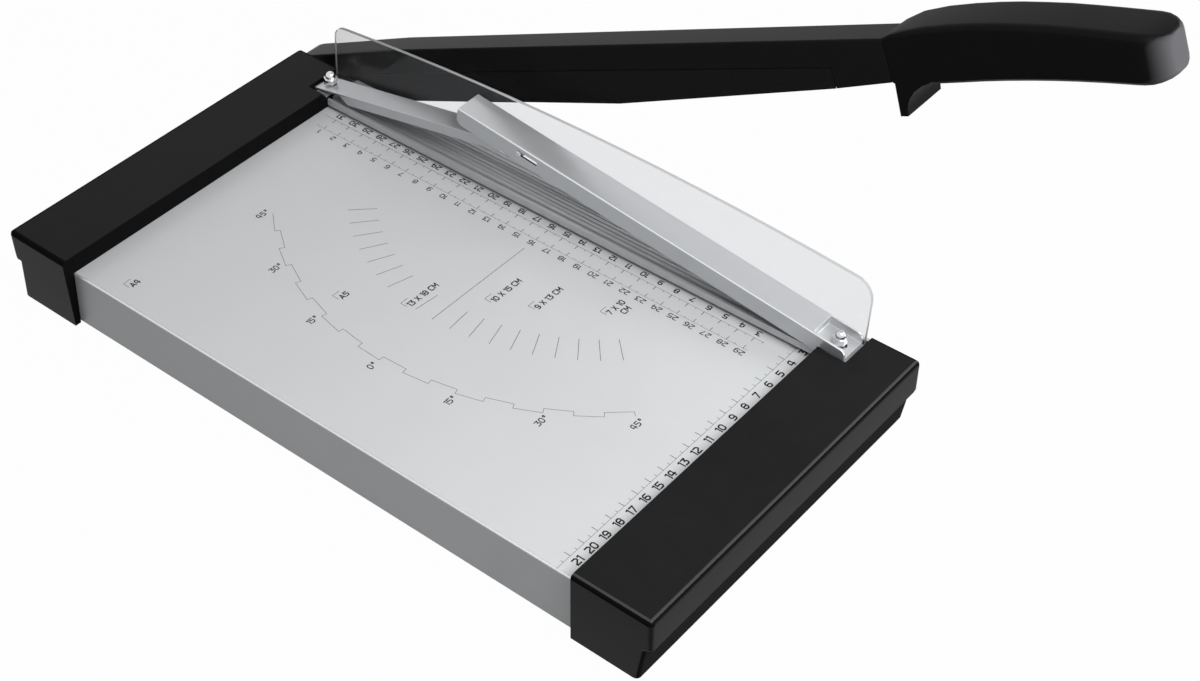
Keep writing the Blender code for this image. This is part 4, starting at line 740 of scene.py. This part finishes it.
def number(text, place, turn=0.0, height=0.0030, align="CENTER", wide=1.0, weight="plain"):
    advance, places = 0.0, []
    for sign in text:
        if sign == " ":
            advance += WORD_GAP
            continue
        places.append((sign, advance))
        advance += sign_width[sign] + SIGN_GAP
    length = advance - SIGN_GAP
    start = -length / 2 if align == "CENTER" else 0.0
    spot = Matrix.Translation((place[0], place[1], BOARD_TOP)) @ Matrix.Rotation(turn, 4, "Z")
    spot = spot @ Matrix.Diagonal((height * wide, height, INK, 1))
    pieces = []
    for sign, offset in places:
        piece = bpy.data.objects.new("sign", signs[weight, sign].copy())
        piece.matrix_world = spot @ Matrix.Translation((start + offset, -0.5, 0))
        bpy.context.scene.collection.objects.link(piece)
        pieces.append(piece)
    return pieces


print("signs stand", SIGN_GAP, "apart")

# %% [markdown]
# Two long scales run beside the clamp, counted from either end, and a short one runs along the operator's cap. Each
# has a base line, a long mark at every centimetre and a short one halfway. The scale away from the clamp is printed
# thinner and paler than the other two, so it is a print of its own.

# %% Print the scales' marks
SCALE_ZERO = 0.1595
LONG_SCALE = 32
UPPER = EDGE - 0.0363
LOWER = EDGE - 0.0463
SHORT = 0.00984 - SCALE_ZERO
UPPER_LINE, LOWER_LINE, SHORT_LINE = (0.024, 0.318), (0.027, 0.3145), (0.0275, 0.22)
HALF = 0.005
MARK, HALF_MARK = 0.0028, 0.0011
CAP_MARK, CAP_HALF_MARK = 0.0036, 0.0016
UPPER_COUNT, LOWER_COUNT, SHORT_COUNT = range(3, 32), range(1, 30), range(3, 22)


def along(centimetres):
    return centimetres / 100 - SCALE_ZERO


marks = [bar((UPPER, UPPER_LINE[0] - SCALE_ZERO), (UPPER, UPPER_LINE[1] - SCALE_ZERO), HAIR),
         bar((EDGE - SHORT_LINE[0], SHORT), (EDGE - SHORT_LINE[1], SHORT), HAIR)]
pale_marks = [bar((LOWER, LOWER_LINE[0] - SCALE_ZERO), (LOWER, LOWER_LINE[1] - SCALE_ZERO), FAINT)]
for k in UPPER_COUNT:
    y = along(k)
    marks.append(bar((UPPER, y), (UPPER - MARK, y), FIRM))
    marks.append(bar((UPPER, y - HALF), (UPPER - HALF_MARK, y - HALF), LIGHT))
for k in LOWER_COUNT:
    y = along(LONG_SCALE - k)
    pale_marks.append(bar((LOWER, y), (LOWER + MARK, y)))
    pale_marks.append(bar((LOWER, y + HALF), (LOWER + HALF_MARK, y + HALF), FINE))
for k in SHORT_COUNT:
    x = EDGE - k / 100
    marks.append(bar((x, SHORT), (x, SHORT + CAP_MARK)))
    marks.append(bar((x - HALF, SHORT), (x - HALF, SHORT + CAP_HALF_MARK), FINE))
scale_marks = finish_print("scale_marks", marks)
pale_scale = finish_print("pale_scale", pale_marks, pale_ink)
print(len(scale_marks.data.polygons), "faces of dark marks,", len(pale_scale.data.polygons), "of pale ones")

# %% [markdown]
# The long scales' numbers are turned to be read from the arm's side, and the short scale's face the operator.

# %% Print the scales' numbers
QUARTER_TURN = math.pi / 2
UPPER_ROW = UPPER + 0.0040
LOWER_ROW = LOWER - 0.0034
SHORT_ROW = SHORT - 0.0042
numbers = []
pale_numbers = []
for k in UPPER_COUNT:
    numbers += number(str(k), (UPPER_ROW, along(k)), QUARTER_TURN, 0.0030, wide=0.95, weight="bold")
for k in LOWER_COUNT:
    pale_numbers += number(str(k), (LOWER_ROW, along(LONG_SCALE - k)), QUARTER_TURN, 0.0029, wide=0.95)
for k in SHORT_COUNT:
    numbers += number(str(k), (EDGE - k / 100, SHORT_ROW), 0, 0.0036, wide=0.9, weight="bold")
scale_numbers = finish_print("scale_numbers", numbers)
pale_scale_numbers = finish_print("pale_scale_numbers", pale_numbers, pale_ink)
print(len(scale_numbers.data.polygons), "faces of dark numbers,", len(pale_scale_numbers.data.polygons), "of pale ones")

# %% [markdown]
# A protractor is printed round the middle of the cutting edge. Its rim steps in and out every five degrees, short
# rays stand inside it, and one long ray marks the square cut. All of it is drawn from one centre and one angle step.
# One ray is left out, where a sheet's size is printed.

# %% Print the protractor
RAY_STEP = 5
LABEL_STEP = 15
LAST_RAY = 45
LEFT_OUT = -10
RIM_OUTER = 0.168
RIM_INNER = 0.165
RAY_INNER = 0.113
RAY_OUTER = 0.1285
LONG_RAY_INNER = 0.055
LABEL_RADIUS = 0.1735
OFF_CENTRE = 0.0006
centre = Vector((EDGE - OFF_CENTRE, OFF_CENTRE))


def polar(radius, degrees):
    turned = math.radians(degrees)
    return centre - radius * Vector((math.cos(turned), math.sin(turned)))


rim = []
for index, degrees in enumerate(range(-LAST_RAY, LAST_RAY, RAY_STEP)):
    radius = RIM_OUTER if index % 2 == 0 else RIM_INNER
    rim.append(bar(polar(radius, degrees), polar(radius, degrees + RAY_STEP), FINE))
    rim.append(bar(polar(RIM_INNER, degrees + RAY_STEP), polar(RIM_OUTER, degrees + RAY_STEP), FINE))
for degrees in range(-LAST_RAY, LAST_RAY + 1, RAY_STEP):
    if degrees != LEFT_OUT:
        inner = LONG_RAY_INNER if degrees == 0 else RAY_INNER
        rim.append(bar(polar(inner, degrees), polar(RAY_OUTER, degrees), LIGHT))
protractor = finish_print("protractor", rim)
labels = []
for degrees in range(-LAST_RAY, LAST_RAY + 1, LABEL_STEP):
    labels += number(f"{abs(degrees)}{DEGREE}", polar(LABEL_RADIUS, degrees), height=0.0031, wide=0.85)
protractor_numbers = finish_print("protractor_numbers", labels)
print(len(protractor.data.polygons), "faces in the protractor")

# %% [markdown]
# Small corner marks show where the usual sheets end when they lie against the cap and the edge. Each corner stands
# at its sheet's width from the edge and its length from the scale's zero, with the size beside it. The smallest
# sheet's size has no room on one line, so its unit stands below.

# %% Print the sheet corners
SHEETS = ((0.210, 0.297, "A4"), (0.148, 0.210, "A5"), (0.130, 0.180, "13 X 18 CM"), (0.100, 0.150, "10 X 15 CM"),
          (0.090, 0.130, "9 X 13 CM"), (0.070, 0.100, "7 X 10"))
CORNER_LONG, CORNER_SHORT = 0.005, 0.0042
WORDS_IN, WORDS_DOWN = 0.0016, 0.0041
UNIT_IN, UNIT_DOWN = 0.0066, 0.0091
PRINT_LOOK = {"height": 0.0030, "align": "LEFT", "wide": 0.86, "weight": "bold"}
corners = []
words = []
for width, length, text in SHEETS:
    x, y = EDGE - width, length - SCALE_ZERO
    corners.append(bar((x, y), (x + CORNER_LONG, y), CORNER))
    corners.append(bar((x, y), (x, y - CORNER_SHORT), CORNER))
    words += number(text, (x + WORDS_IN, y - WORDS_DOWN), **PRINT_LOOK)
words += number("CM", (x + UNIT_IN, y - UNIT_DOWN), **PRINT_LOOK)
sheet_corners = finish_print("sheet_corners", corners)
sheet_sizes = finish_print("sheet_sizes", words)
print(len(SHEETS), "sheet corners,", len(sheet_sizes.data.polygons), "faces of words")

# %% [markdown]
# At the end the view layer is brought up to date.

# %% Finish
bpy.context.view_layer.update()
